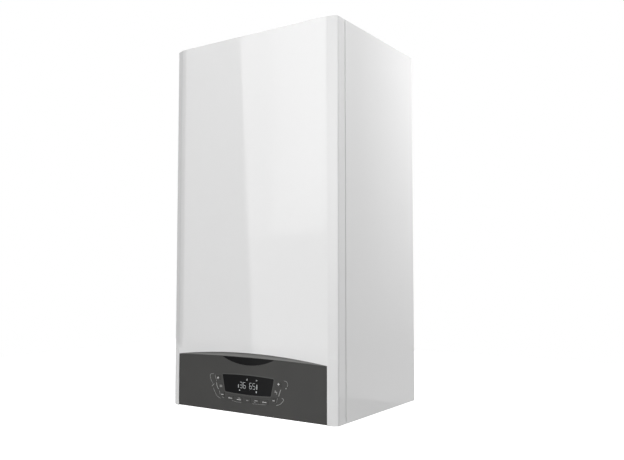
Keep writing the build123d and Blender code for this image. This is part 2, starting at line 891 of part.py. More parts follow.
with BuildPart() as fan_housing:
    with BuildSketch(facing_front(fan_x, -fan_rear, fan_z)):
        add(volute(fan_throat, fan_growth, fan_reach, fan_mouth))
    extrude(amount=fan_width)
    with BuildSketch(facing_front(fan_x, -fan_rear - fan_wall, fan_z)):
        add(volute(fan_throat, fan_growth, fan_reach + 1, fan_mouth, fan_wall))
    extrude(amount=fan_width - 2 * fan_wall, mode=Mode.SUBTRACT)
    rod((fan_x, -fan_rear + 1, fan_z), (fan_x, -fan_rear - fan_wall - 1, fan_z), fan_shaft + 2, Mode.SUBTRACT)
    rod(
        (fan_x, -fan_rear - fan_width + fan_wall + 1, fan_z),
        (fan_x, -fan_rear - fan_width - 1, fan_z),
        eye_radius - 3,
        Mode.SUBTRACT,
    )
    # foot down to the shelf
    with BuildSketch(facing_front(fan_x, -fan_rear + 2, 0)):
        with BuildLine():
            Polyline(
                (-30, shelf_z),
                (30, shelf_z),
                (20, fan_z - motor_radius - 2),
                (-20, fan_z - motor_radius - 2),
                close=True,
            )
        make_face()
    extrude(amount=2)
    block((fan_x - 30, -fan_rear - 4, shelf_z), (fan_x + 30, -fan_rear + 12, shelf_z + 2))
keep(fan_housing, "fan_housing")

with BuildPart() as fan_motor:
    with BuildSketch(facing_front(fan_x, -fan_rear, fan_z)):
        Circle(motor_radius)
    extrude(amount=-motor_length)
    block((fan_x - 13, -fan_rear + 12, fan_z - motor_radius - 7), (fan_x + 13, -fan_rear + 34, fan_z - 20))
    rod(
        (fan_x, -fan_rear - 1, fan_z),
        (fan_x, -fan_rear + motor_length - 10, fan_z),
        fan_shaft + shaft_gap,
        Mode.SUBTRACT,
    )
keep(fan_motor, "fan_motor")

wheel_depth = fan_width - 2 * fan_wall - 2 * fan_hub_gap
blade_root = 13.0
blade_sheet = 1.2
blade_lean = 52.0  # angle by which the blade's tip trails its root


def blade_face(root, tip, lean, thickness):
    """One backward-curved blade between two radii, seen along its shaft."""
    tip_turn, middle_turn = radians(-lean), radians(-lean * 0.32)
    middle = (root + tip) / 2
    with BuildSketch() as face:
        with BuildLine():
            ThreePointArc(
                (root, 0),
                (middle * cos(middle_turn), middle * sin(middle_turn)),
                (tip * cos(tip_turn), tip * sin(tip_turn)),
            )
            offset(amount=thickness, side=Side.RIGHT)
        make_face()
    return face.sketch


with BuildPart() as fan_impeller:
    wheel_y = -fan_rear - fan_wall - fan_hub_gap
    with BuildSketch(facing_front(fan_x, wheel_y, fan_z)):
        Circle(fan_wheel)
    extrude(amount=1.5)
    with BuildSketch(facing_front(fan_x, wheel_y - 1, fan_z)):
        for step in range(fan_blades):
            add(blade_face(blade_root, fan_wheel - 1, blade_lean, blade_sheet).rotate(Axis.Z, step * 360 / fan_blades))
    extrude(amount=wheel_depth - 1)
    rod((fan_x, wheel_y - 14, fan_z), (fan_x, -fan_rear + motor_length - 14, fan_z), fan_shaft)
keep(fan_impeller, "fan_impeller")

with BuildPart() as gas_mixer:
    with BuildSketch(Plane(origin=(fan_x, mixer_y, up(mixer_foot)))):
        clipped(2 * mixer_radius, 2 * mixer_radius, 9)
    extrude(amount=mixer_top - mixer_foot)
    rod((fan_x, mixer_y, fan_z), (fan_x, -fan_rear - fan_width, fan_z), eye_radius)
keep(gas_mixer, "gas_mixer")

silencer_height = 76.0
silencer_foot = mixer_top + 38.0
silencer_width = 96.0
silencer_depth = 80.0
silencer_wall = 2.0
with BuildPart() as intake_silencer:
    with BuildSketch(Plane(origin=(fan_x, mixer_y + 22, up(silencer_foot)))):
        clipped(silencer_width, silencer_depth, 12)
    extrude(amount=silencer_height)
    rod((fan_x, mixer_y, up(mixer_top)), (fan_x, mixer_y, up(silencer_foot) + 1), mixer_radius)
    with BuildSketch(Plane(origin=(fan_x, mixer_y + 22, up(silencer_foot) + silencer_wall))):
        clipped(silencer_width - 2 * silencer_wall, silencer_depth - 2 * silencer_wall, 11)
    extrude(amount=silencer_height - 2 * silencer_wall, mode=Mode.SUBTRACT)
    block(
        (fan_x - 30, mixer_y + 22 + silencer_depth / 2 - 4, up(silencer_foot) + 28),
        (fan_x + 30, mixer_y + 22 + silencer_depth / 2 + 4, up(silencer_foot) + 54),
        mode=Mode.SUBTRACT,
    )
keep(intake_silencer, "intake_silencer")

duct_top = top_z + collar_rise
with BuildPart() as flue_duct:
    rod((0, flue_y, exhaust_seat), (0, flue_y, duct_top), flue_radius)
    rod((0, flue_y, exhaust_seat - 1), (0, flue_y, duct_top + 1), flue_radius - flue_wall, Mode.SUBTRACT)
keep(flue_duct, "flue_duct")

collar_wall = 2.5
with BuildPart() as flue_collar:
    with BuildSketch(Plane(origin=(0, flue_y, top_z))):
        clipped(2 * air_radius + 28, 2 * air_radius + 28, 20)
        Circle(air_radius - collar_wall, mode=Mode.SUBTRACT)
    extrude(amount=3)
    with BuildSketch(Plane(origin=(0, flue_y, top_z))):
        Circle(air_radius)
        Circle(air_radius - collar_wall, mode=Mode.SUBTRACT)
    extrude(amount=collar_rise)
keep(flue_collar, "flue_collar")

with BuildPart() as spark_generator:
    block((-186, -160, shelf_z), (-142, -122, shelf_z + 3))
    with BuildSketch(Plane(origin=(-164, -141, shelf_z + 2))):
        clipped(32, 34, 4)
    extrude(amount=30)
keep(spark_generator, "spark_generator")

# ------------------------------------------------------------------ gas
valve_foot = 315.0
valve_top = 385.0
valve_y = mixer_y + 18.0
with BuildPart() as gas_valve:
    block((fan_x - 34, valve_y - 22, up(valve_foot + 8)), (fan_x + 34, valve_y + 26, up(valve_top - 8)))
    chamfer(gas_valve.edges().filter_by(Axis.Z), length=4)
    rod((fan_x, mixer_y, up(valve_top - 9)), (fan_x, mixer_y, up(valve_top)), 14)
    block((fan_x - 13, valve_y - 13, up(valve_foot)), (fan_x + 13, valve_y + 13, up(valve_foot + 9)))
    rod((fan_x + 18, valve_y + 2, up(valve_top - 9)), (fan_x + 18, valve_y + 2, up(valve_top + 14)), 11)
    block((fan_x - 30, valve_y + 2, up(valve_top - 9)), (fan_x - 16, valve_y + 22, up(valve_top + 6)))
keep(gas_valve, "gas_valve")

with BuildPart() as gas_pipes:
    bent_tube(
        [
            (0, tail_y, up(tail_top)),
            (0, tail_y, up(100)),
            (fan_x, valve_y, up(282)),
            (fan_x, valve_y, up(valve_foot)),
        ],
        [pipe_bend, pipe_bend],
        gas_radius,
    )
    rod((fan_x, mixer_y, up(valve_top)), (fan_x, mixer_y, up(mixer_foot)), gas_radius)
keep(gas_pipes, "gas_pipes")

# ------------------------------------------------------------------ water circuit, above the bottom plate
with BuildPart() as connection_tails:
    for x, thread in zip(tail_xs, tail_threads):
        rod((x, tail_y, up(tail_end)), (x, tail_y, floor_z - 10), thread)
        with BuildSketch(Plane(origin=(x, tail_y, floor_z - 10))):
            RegularPolygon(thread + 4, 6)
        extrude(amount=up(tail_top) - floor_z + 10)
keep(connection_tails, "connection_tails")

group_x = diverter_x
group_y = -110.0
flow_top = 205.0
spindle_radius = 3.0
duct = 9.0  # half the width of a moulded water passage


def passage(start, end, half=duct):
    """A square moulded water passage along one axis, closed a little past both ends."""
    low = tuple(min(a, b) - (half if a == b else 0) for a, b in zip(start, end))
    high = tuple(max(a, b) + (half if a == b else 0) for a, b in zip(start, end))
    block(low, high)


with BuildPart() as flow_group:
    # upright body that the flow pipe enters, and the diverter chamber forward to its motor
    block((group_x - 17, group_y - 17, up(82)), (group_x + 17, group_y + 17, up(flow_top)))
    rod((group_x, group_y - 16, up(diverter_height)), (group_x, -diverter_front, up(diverter_height)), 16)
    # heating flow down to its tail
    passage((-2 * tail_spacing, tail_y, up(tail_top)), (-2 * tail_spacing, tail_y, up(diverter_height)), 11)
    # to and from the plate exchanger
    passage((-plate_port, -plate_front, up(high_port)), (-plate_port, group_y - duct, up(high_port)))
    passage((-plate_port, group_y, up(high_port)), (group_x, group_y, up(high_port)))
    passage((-plate_port, -plate_front, up(low_port)), (-plate_port, tail_y - duct, up(low_port)))
    passage((-plate_port, group_y, up(low_port)), (group_x, group_y, up(low_port)))
    passage((-tail_spacing, tail_y, up(tail_top)), (-tail_spacing, tail_y, up(low_port) + duct))
    rod(
        (group_x, group_y - 18, up(diverter_height)),
        (group_x, -diverter_front - 1, up(diverter_height)),
        spindle_radius + shaft_gap,
        Mode.SUBTRACT,
    )
    rod(
        (group_x, group_y - 18, up(diverter_height)),
        (group_x, group_y - 50, up(diverter_height)),
        9,
        Mode.SUBTRACT,
    )
keep(flow_group, "flow_group")

with BuildPart() as diverter_motor:
    with BuildSketch(facing_front(group_x, -diverter_front, up(diverter_height))):
        clipped(48, 38, 5)
    extrude(amount=34)
    block(
        (group_x + 23, -diverter_front - 24, up(diverter_height - 8)),
        (group_x + 31, -diverter_front - 8, up(diverter_height + 8)),
    )
    rod(
        (group_x, -diverter_front + 1, up(diverter_height)),
        (group_x, -diverter_front - 24, up(diverter_height)),
        spindle_radius + shaft_gap,
        Mode.SUBTRACT,
    )
keep(diverter_motor, "diverter_motor")

with BuildPart() as diverter_spindle:
    rod(
        (group_x, group_y - 38, up(diverter_height)),
        (group_x, -diverter_front - 14, up(diverter_height)),
        spindle_radius,
    )
    rod(
        (group_x, group_y - 24 - spindle_travel - 4, up(diverter_height)),
        (group_x, group_y - 24 - spindle_travel - 14, up(diverter_height)),
        8.0,
    )
keep(diverter_spindle, "diverter_spindle")

plate_count = 5
with BuildPart() as plate_exchanger:
    pitch = (plate_front - plate_rear) / plate_count
    with BuildSketch(facing_front(0, -plate_rear, up(plate_foot + plate_height / 2))):
        clipped(plate_width - 4, plate_height - 4, 12)
    extrude(amount=plate_front - plate_rear)
    for step in range(plate_count):
        with BuildSketch(facing_front(0, -plate_front + step * pitch, up(plate_foot + plate_height / 2))):
            clipped(plate_width, plate_height, 13)
        extrude(amount=-pitch * 0.6)
keep(plate_exchanger, "plate_exchanger")

suction_y = -95.0
pump_z = up(pump_height)
pump_lip = pump_throat + 3 * pump_growth
return_x = pump_x - pump_lip + pump_mouth / 2
return_y = -(pump_rear + pump_front) / 2
hose_foot = 165.0


def pump_plane(y):
    """Plane of the pump's scroll: its mouth points up."""
    return Plane(origin=(pump_x, y, pump_z), x_dir=(0, 0, 1), z_dir=(0, -1, 0))


with BuildPart() as return_group:
    # cold water to the plate exchanger
    passage((plate_port, -plate_front, up(low_port)), (plate_port, tail_y - duct, up(low_port)))
    passage((tail_spacing, tail_y, up(tail_top)), (tail_spacing, tail_y, up(low_port) + duct))
    # primary return from the plate exchanger to the pump's suction
    passage((plate_port, -plate_front, up(high_port)), (plate_port, suction_y - duct, up(high_port)))
    passage((plate_port, suction_y, up(high_port)), (pump_x, suction_y, up(high_port)))
    passage((pump_x, suction_y, up(low_port - 10)), (pump_x, suction_y, pump_z), 12)
    rod((pump_x, suction_y, pump_z), (pump_x, -pump_rear, pump_z), 12)
    # heating return up from its tail, and the link between the two sides
    passage((2 * tail_spacing, tail_y, up(tail_top)), (2 * tail_spacing, tail_y, up(low_port) + 9), 11)
    passage((2 * tail_spacing, tail_y, up(low_port)), (2 * tail_spacing, suction_y, up(low_port)))
    passage((plate_port, suction_y, up(low_port)), (2 * tail_spacing, suction_y, up(low_port)), 7)
    # boss for the vessel hose
    passage((port_x, suction_y, up(high_port)), (port_x, vessel_y - 8, up(high_port)), 8)
    passage((port_x, vessel_y, up(high_port)), (port_x, vessel_y, up(hose_foot)), 8)
keep(return_group, "return_group")

with BuildPart() as pump_body:
    with BuildSketch(pump_plane(-pump_rear)):
        add(volute(pump_throat, pump_growth, pump_reach, pump_mouth))
    extrude(amount=pump_front - pump_rear)
    block((pump_x + 8, return_y - 9, pump_z + 18), (pump_x + 26, return_y + 9, pump_z + 40))
    rod(
        (pump_x, -pump_front - 1, pump_z),
        (pump_x, -pump_rear - pump_wall, pump_z),
        pump_throat - pump_wall,
        Mode.SUBTRACT,
    )
    rod((pump_x, -pump_rear - 5, pump_z), (pump_x, -pump_rear + 1, pump_z), 8, Mode.SUBTRACT)
keep(pump_body, "pump_body")

pump_shaft = 3.0
pump_motor_radius = 38.0
pump_motor_length = 84.0
terminal_depth = 24.0
with BuildPart() as pump_motor:
    with BuildSketch(pump_plane(-pump_front)):
        Circle(pump_motor_radius)
    extrude(amount=pump_motor_length - terminal_depth)
    with BuildSketch(pump_plane(-pump_front - pump_motor_length + terminal_depth)):
        clipped(70, 74, 10)
    extrude(amount=terminal_depth)
    rod((pump_x, -pump_front + 1, pump_z), (pump_x, -pump_front - 40, pump_z), pump_shaft + shaft_gap, Mode.SUBTRACT)
keep(pump_motor, "pump_motor")

with BuildPart() as pump_impeller:
    with BuildSketch(pump_plane(-pump_rear - pump_wall - 20)):
        Circle(pump_wheel)
    extrude(amount=2)
    with BuildSketch(pump_plane(-pump_rear - pump_wall - 8)):
        for step in range(6):
            with PolarLocations(13, 1, step * 60):
                Rectangle(18, 1.5, rotation=35)
    extrude(amount=13)
    rod((pump_x, -pump_rear - pump_wall - 8, pump_z), (pump_x, -pump_front - 36, pump_z), pump_shaft)
keep(pump_impeller, "pump_impeller")

with BuildPart() as primary_pipes:
    flow_x = drum_x - stub_spacing
    bent_tube(
        [
            (flow_x, stub_y, stub_end),
            (flow_x, stub_y, up(398)),
            (group_x, group_y, up(235)),
            (group_x, group_y, up(flow_top)),
        ],
        [pipe_bend, pipe_bend],
        pipe_radius,
    )
    rod((return_x, return_y, stub_end), (return_x, return_y, pump_z + pump_reach), pipe_radius)
keep(primary_pipes, "primary_pipes")

with BuildPart() as vessel_hose:
    rod((port_x, vessel_y, hose_top), (port_x, vessel_y, up(hose_foot + 8)), 7.0)
keep(vessel_hose, "vessel_hose")

with BuildPart() as condensate_hose:
    rod((trap_x, trap_y, stub_end), (trap_x, trap_y, up(trap_top)), pipe_radius)
keep(condensate_hose, "condensate_hose")

with BuildPart() as condensate_trap:
    rod((trap_x, trap_y, floor_top), (trap_x, trap_y, up(trap_top)), trap_radius)
    rod((trap_x, trap_y, floor_top + 1), (trap_x, trap_y, up(tail_end + 2)), trap_spigot)
keep(condensate_trap, "condensate_trap")

with BuildPart() as air_vent:
    vent_x, vent_foot = pump_x + 17, pump_z + 40
    rod((vent_x, return_y, vent_foot), (vent_x, return_y, vent_foot + 40), 11)
    block((vent_x - 4, return_y - 4, vent_foot + 39), (vent_x + 4, return_y + 4, vent_foot + 47))
keep(air_vent, "air_vent")

relief_start = 2 * tail_spacing + duct
relief_end = relief_x + 12
knob_bore = 2.5
with BuildPart() as relief_valve:
    block((relief_start, relief_y - 10, up(low_port - 10)), (relief_end, relief_y + 10, up(low_port + 10)))
    rod((relief_x, relief_y, up(low_port)), (relief_x, relief_y, up(24)), 6)
    rod((relief_end - 1, relief_y, up(low_port)), (relief_end + 10, relief_y, up(low_port)), knob_bore)
keep(relief_valve, "relief_valve")

with BuildPart() as relief_knob:
    with BuildSketch(Plane(origin=(relief_end + running_gap, relief_y, up(low_port)), z_dir=(1, 0, 0))):
        RegularPolygon(12.5, 12)
    extrude(amount=13)
    rod(
        (relief_end, relief_y, up(low_port)),
        (relief_end + 11, relief_y, up(low_port)),
        knob_bore + shaft_gap,
        Mode.SUBTRACT,
    )
keep(relief_knob, "relief_knob")

tap_start = plate_port + duct
tap_end = 2 * tail_spacing - duct
lever_foot = 36.0
stem_radius = 3.0
with BuildPart() as filling_tap:
    passage((tap_start, lever_y, up(low_port)), (tap_end, lever_y, up(low_port)), 8)
    rod((lever_x, lever_y, up(low_port)), (lever_x, lever_y, up(74)), 8)
    rod((lever_x, lever_y, up(low_port - 6)), (lever_x, lever_y, up(73)), stem_radius + shaft_gap, Mode.SUBTRACT)
keep(filling_tap, "filling_tap")

with BuildPart() as filling_lever:
    rod((lever_x, lever_y, up(low_port - 8)), (lever_x, lever_y, up(lever_foot + 3)), stem_radius)
    with BuildSketch(Plane(origin=(lever_x, lever_y - 10, up(lever_foot)))):
        clipped(14, 36, 4)
    extrude(amount=7)
keep(filling_lever, "filling_lever")
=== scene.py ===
# %% [markdown]
# A wall-hung combi boiler is a plain white steel case with one dark, busy strip at its foot. Its
# looks come from three things: calm enamel that shows the studio in soft bands, a satin grey panel
# with fine pale print, and clean seams between the pressed sheets. The sizes and the moving bodies
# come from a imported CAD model, which is loaded first and never changed.

# %% Load the frame
import json
from math import cos, hypot, pi, radians, sin, tan

import bmesh
import bpy
from mathutils import Matrix, Vector


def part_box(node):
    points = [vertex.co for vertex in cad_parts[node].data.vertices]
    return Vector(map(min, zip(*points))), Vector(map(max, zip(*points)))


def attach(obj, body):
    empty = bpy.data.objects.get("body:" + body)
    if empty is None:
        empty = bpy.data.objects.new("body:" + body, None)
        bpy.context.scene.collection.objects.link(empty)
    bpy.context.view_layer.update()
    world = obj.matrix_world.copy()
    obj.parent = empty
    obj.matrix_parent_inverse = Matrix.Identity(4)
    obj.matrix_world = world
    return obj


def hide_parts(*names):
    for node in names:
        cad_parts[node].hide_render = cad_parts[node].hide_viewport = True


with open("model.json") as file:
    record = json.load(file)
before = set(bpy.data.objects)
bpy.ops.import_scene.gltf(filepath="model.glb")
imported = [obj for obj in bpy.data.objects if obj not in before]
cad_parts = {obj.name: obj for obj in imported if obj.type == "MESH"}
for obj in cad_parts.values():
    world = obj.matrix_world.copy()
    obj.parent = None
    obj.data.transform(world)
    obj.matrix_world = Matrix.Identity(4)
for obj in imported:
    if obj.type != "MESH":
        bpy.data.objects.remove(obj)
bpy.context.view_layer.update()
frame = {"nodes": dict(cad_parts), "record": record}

# %% [markdown]
# Everything below is placed from a few measures that are read from the frame: the front face, the
# underside, the lid and the sides of the case. Small sizes are written in millimetres and turned
# into metres by one factor, because a panel maker thinks in millimetres.

# %% Measures taken from the frame
MM = 0.001
case_low, case_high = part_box("front_casing")
front_y = case_low.y
case_foot, case_top = case_low.z, case_high.z
case_half = case_high.x
panel_body = "control_panel"
print("case", [round(v, 4) for v in (2 * case_half, case_top - case_foot, -front_y)])

# %% [markdown]
# The photograph was taken from the boiler's right, a little above its foot, looking slightly up.
# A camera is fixed by where it stands, how it turns and its lens. Fitting the case's edges gave
# these values, so the picture needs no cropping and no lens shift.

# %% Camera
camera_place = (0.8605, -1.3838, case_foot + 0.2717)
camera_turn = radians(33.74)
camera_pitch = radians(3.53)
lens_mm, film_mm = 40.37, 36.0
view_reach = 50.0

scene = bpy.context.scene
camera_data = bpy.data.cameras.new("camera")
camera_data.lens = lens_mm
camera_data.sensor_width = film_mm
camera_data.clip_end = view_reach
camera = bpy.data.objects.new("camera", camera_data)
camera.location = camera_place
camera.rotation_euler = (pi / 2 + camera_pitch, 0.0, camera_turn)
scene.collection.objects.link(camera)
scene.camera = camera
print("camera at", [round(v, 3) for v in camera_place])

# %% [markdown]
# The world, the studio's cards and all the finishes are built from shader nodes. A few helpers keep
# that short: they make a node, give its inputs plain values or wire them to the sockets that feed
# them, and hand back what it puts out.

# %% Shader node helpers
WHITE = (1.0, 1.0, 1.0, 1.0)


def feed(tree, node, inputs):
    """Give a node's inputs plain values, or wire them to the output sockets that feed them."""
    for key, value in inputs.items():
        if isinstance(value, bpy.types.NodeSocket):
            tree.links.new(value, node.inputs[key])
        else:
            node.inputs[key].default_value = value


def node_in(tree, kind, inputs=None, **settings):
    """A new shader node with its own settings, whose inputs are fed."""
    node = tree.nodes.new(f"ShaderNode{kind}")
    for name, value in settings.items():
        setattr(node, name, value)
    feed(tree, node, inputs or {})
    return node


def math_node(tree, operation, *values):
    """The output of a Math node."""
    return node_in(tree, "Math", dict(enumerate(values)), operation=operation).outputs[0]


def ranged(tree, value, low, high, to_low=0.0, to_high=1.0):
    """The output of a Map Range node, which stays within its ends."""
    ends = {"From Min": low, "From Max": high, "To Min": to_low, "To Max": to_high}
    return node_in(tree, "MapRange", {"Value": value, **ends}).outputs["Result"]


def noise_node(tree, vector, scale, detail):
    """The grey output of a Noise Texture."""
    inputs = {"Vector": vector, "Scale": scale, "Detail": detail}
    return node_in(tree, "TexNoise", inputs).outputs["Fac"]


def object_place(tree):
    """The socket that holds a point's place on its own piece."""
    return node_in(tree, "TexCoord").outputs["Object"]


def new_paint(name):
    """A new material, its node tree and its Principled shader."""
    material = bpy.data.materials.new(name)
    material.use_nodes = True
    return material, material.node_tree, material.node_tree.nodes["Principled BSDF"]


print("helpers ready")

# %% [markdown]
# The studio is a pale room. The world only fills the shadows, but what the camera, a gloss coat or
# glass sees of it is plain white, so the object stands on a clean ground.

# %% World
scene.view_settings.view_transform = "Standard"
fill_strength = 0.12

scene.world = bpy.data.worlds.new("studio")
scene.world.use_nodes = True
tree = scene.world.node_tree
tree.nodes.clear()
path = node_in(tree, "LightPath").outputs
seen = math_node(tree, "MAXIMUM", path["Is Camera Ray"], path["Is Glossy Ray"])
seen = math_node(tree, "MAXIMUM", seen, path["Is Transmission Ray"])
strength = ranged(tree, seen, 0.0, 1.0, fill_strength, 1.0)
background = node_in(tree, "Background", {"Color": WHITE, "Strength": strength})
node_in(tree, "OutputWorld", {"Surface": background.outputs[0]})
print("world fill", fill_strength)

# %% [markdown]
# Large soft lamps model the case. The left one stands where the enamel mirrors it: its edge leans a
# little and makes the long slanting change of tone, and it has two heights, the upper one brighter.
# One lamp lights the front and one the bevels from overhead, and the coat mirrors neither of them.
# Two light the side, and one from behind rounds off the left.

# %% Lamps
def soft_lamp(name, place, size, power):
    """A rectangular softbox."""
    data = bpy.data.lights.new(name, "AREA")
    data.shape = "RECTANGLE"
    data.size, data.size_y = size
    data.energy = power
    lamp = bpy.data.objects.new(name, data)
    lamp.location = place
    scene.collection.objects.link(lamp)
    return lamp


mirror_x, mirror_y, mirror_wide = -1.315, -3.0, 1.73
mirror_lean, mirror_pivot = radians(3.4), 0.06
for name, height, tall, power in (
    ("mirrored_softbox", 0.80, 1.92, 15.6),
    ("mirrored_softbox_foot", -0.90, 1.48, 9.1),
):
    drift = (height - mirror_pivot) * tan(mirror_lean)
    lamp = soft_lamp(name, (mirror_x - drift, mirror_y, height), (mirror_wide, tall), power)
    lamp.rotation_euler = (pi / 2, -mirror_lean, 0.0)

case_middle = Vector((0.0, front_y / 2, (case_foot + case_top) / 2))
case_head = Vector((0.0, front_y, case_top - 0.05))
# each aimed lamp: name, place, size, power, what it looks at, and whether gloss mirrors it
for name, place, size, power, aim, in_gloss in (
    ("front_softbox", (0.8, -4.0, 0.5), (2.0, 3.4), 52.0, case_middle, False),
    ("head_softbox", (0.0, -1.1, 1.3), (1.8, 1.1), 10.4, case_head, False),
    ("side_softbox", (3.0, 0.9, 2.0), (3.0, 3.0), 50.0, case_middle, True),
    ("near_side_softbox", (1.5, 0.3, 0.9), (1.3, 1.3), 6.6, case_head, True),
    ("back_softbox", (-1.9, 1.5, 1.2), (2.0, 2.2), 40.0, case_middle, True),
):
    lamp = soft_lamp(name, place, size, power)
    lamp.rotation_euler = (aim - Vector(place)).to_track_quat("-Z", "Y").to_euler()
    lamp.visible_glossy = in_gloss

# %% [markdown]
# Photographers shape gloss with cards: a dark one draws a line along an edge, a bright one lifts a
# side. A bare card would mirror with a hard border, so each of these fades over its width. In gloss
# a card shows its own tone, which ramps set along its axes; to the camera it is not there.

# %% Cards that fade
def fading_card(name, corners, ramps, base, gain, lit_only=True):
    """A card that gloss sees at base + gain * ramps; a ramp is an axis with (place, value) stops."""
    mesh = bpy.data.meshes.new(name)
    mesh.from_pydata(corners, [], [(0, 1, 2, 3)])
    sheet = bpy.data.objects.new(name, mesh)
    sheet.visible_camera = False
    sheet.visible_diffuse = sheet.visible_shadow = not lit_only
    scene.collection.objects.link(sheet)
    paint, tree, shader = new_paint(name)
    axes = node_in(tree, "SeparateXYZ", {0: object_place(tree)}).outputs
    level = 1.0
    for axis, stops in ramps.items():
        first, last = stops[0][0], stops[-1][0]
        ramp = node_in(tree, "ValToRGB", {0: ranged(tree, axes[axis], first, last)})
        elements = ramp.color_ramp.elements
        for number, (place, value) in enumerate(stops):
            share = (place - first) / (last - first)
            stop = elements[number] if number < 2 else elements.new(share)
            stop.position = share
            stop.color = (value, value, value, 1.0)
        level = math_node(tree, "MULTIPLY", level, ramp.outputs["Color"])
    tone = math_node(tree, "MULTIPLY_ADD", level, gain, base)
    in_gloss = node_in(tree, "LightPath").outputs["Is Glossy Ray"]
    feed(tree, shader, {
        "Base Color": (0.02, 0.02, 0.02, 1.0), "Roughness": 1.0, "Emission Color": WHITE,
        "Emission Strength": math_node(tree, "MULTIPLY", tone, in_gloss),
    })
    mesh.materials.append(paint)
    print(name, "fades along", *ramps)


def card_corners(y, left, right, low, high, head_right=None):
    """Corners of a card across the view at y; head_right moves its upper right corner."""
    head_right = right if head_right is None else head_right
    return [(left, y, low), (right, y, low), (head_right, y, high), (left, y, high)]


# %% Dark card on the left
dark_x, dark_near, dark_far, dark_top = -1.5, -1.72, 0.7, 1.2
dark_foot = case_foot - 0.5
fading_card(
    "dark_card",
    [(dark_x, y, z) for y, z in (
        (dark_near, dark_foot), (dark_far, dark_foot), (dark_far, dark_top), (dark_near, dark_top),
    )],
    {"Y": [
        (dark_near, 0.9), (-1.52, 0.45), (-1.36, 0.0), (-0.42, 0.0), (-0.34, 0.8), (-0.1, 0.8), (0.0, 0.0),
        (dark_far, 0.0),
    ]},
    base=0.0, gain=1.0, lit_only=False,
)

# %% [markdown]
# The side mirrors a glowing card behind the object. In front stand two more: a slim one before the
# left lamp lifts the front's right third, and a wide one that sinks to the room's own white at its
# rim shades the bevelled strip from top to foot.

# %% Glowing, lifting and front card
fading_card(
    "glow_card", card_corners(3.0, -1.2, 2.4, -1.4, 2.4),
    {"X": [(1.5, 1.0), (2.06, 0.22), (2.2, 0.2), (2.4, 0.0)],
     "Z": [(-0.95, 0.0), (0.1, 0.6), (0.66, 0.87), (1.1, 1.0)]},
    base=1.0, gain=1.95,
)
lift_foot, lift_top = -0.16, 1.74
fading_card(
    "lift_card", card_corners(-2.99, -1.95, -0.46, lift_foot, lift_top, -0.54),
    {"X": [(-1.95, 0.0), (-1.6, 1.0), (-0.46, 1.0)], "Z": [(lift_foot, 0.0), (0.2, 1.0), (lift_top, 1.0)]},
    base=2.8, gain=0.42,
)
fading_card(
    "front_card", card_corners(-4.0, -0.9, 2.8, -1.4, 2.4),
    {"X": [(-0.9, 0.0), (-0.5, 0.6), (0.4, 0.7), (0.9, 1.0), (1.8, 1.0), (2.8, 0.0)],
     "Z": [
         (-1.4, 0.0), (-1.0, 0.24), (-0.78, 0.32), (-0.19, 0.77), (0.25, 1.0), (0.7, 0.98), (1.31, 0.67),
         (2.4, 0.0),
     ]},
    base=1.0, gain=1.6,
)

# %% [markdown]
# The boiler hangs on a wall that the photograph leaves out, so only a pale floor lies far below it.
# It is a wide sheet that takes the shadow. For the camera and in gloss it glows a little, and more
# and more with the distance from the object, where the lamps fade, which hides the line between
# floor and background. From below it can't be seen.

# %% Floor
floor_level = case_foot - 0.62
floor_half = 6.0
glow_near, glow_far = (0.9, 0.55), (3.2, 1.0)
floor_in_gloss = 0.3

floor_mesh = bpy.data.meshes.new("floor")
corners = [(x * floor_half, y * floor_half, floor_level) for x, y in ((-1, -1), (1, -1), (1, 1), (-1, 1))]
floor_mesh.from_pydata(corners, [], [(0, 1, 2, 3)])
floor = bpy.data.objects.new("floor", floor_mesh)
scene.collection.objects.link(floor)

floor_paint, tree, shader = new_paint("floor_paint")
distance = node_in(tree, "VectorMath", {0: object_place(tree)}, operation="LENGTH").outputs["Value"]
fade = ranged(tree, distance, glow_near[0], glow_far[0], glow_near[1], glow_far[1])
path = node_in(tree, "LightPath").outputs
glossy_share = math_node(tree, "MULTIPLY", path["Is Glossy Ray"], floor_in_gloss)
seen = math_node(tree, "MAXIMUM", path["Is Camera Ray"], glossy_share)
feed(tree, shader, {
    "Base Color": (0.86, 0.86, 0.86, 1.0), "Roughness": 0.9, "Specular IOR Level": 0.1,
    "Emission Color": WHITE, "Emission Strength": math_node(tree, "MULTIPLY", seen, fade),
})
from_below = node_in(tree, "NewGeometry").outputs["Backfacing"]
clear = node_in(tree, "BsdfTransparent").outputs[0]
either = node_in(tree, "MixShader", {"Fac": from_below, 1: shader.outputs[0], 2: clear})
feed(tree, tree.nodes["Material Output"], {"Surface": either.outputs[0]})
floor_mesh.materials.append(floor_paint)
print("floor at", round(floor_level, 3))

# %% [markdown]
# Real surfaces repeat a few effects: a fine skin of bumps, streaks from rolling or drawing, crystals
# in zinc, and dust on what faces up. Each effect is one shader node group with named sockets, made
# once and placed in every material that needs it with that material's own values.

# %% Node group helper
def group_of(name, inputs, outputs):
    """A shader node group with float sockets; returns it with its input sockets and its end node."""
    group = bpy.data.node_groups.new(name, "ShaderNodeTree")
    for label, value in inputs.items():
        socket = group.interface.new_socket(name=label, in_out="INPUT", socket_type="NodeSocketFloat")
        socket.default_value = value
    for label in outputs:
        group.interface.new_socket(name=label, in_out="OUTPUT", socket_type="NodeSocketFloat")
    print("group", name)
    return group, group.nodes.new("NodeGroupInput").outputs, group.nodes.new("NodeGroupOutput")


# %% Group: paint skin, the faint orange peel of sprayed or moulded surfaces
skin_group, start, end = group_of("skin", {"Scale": 900.0, "Mottle": 6.0}, ["Height", "Tone"])
place = object_place(skin_group)
feed(skin_group, end, {
    "Height": noise_node(skin_group, place, start["Scale"], 2.0),
    "Tone": noise_node(skin_group, place, start["Mottle"], 3.0),
})

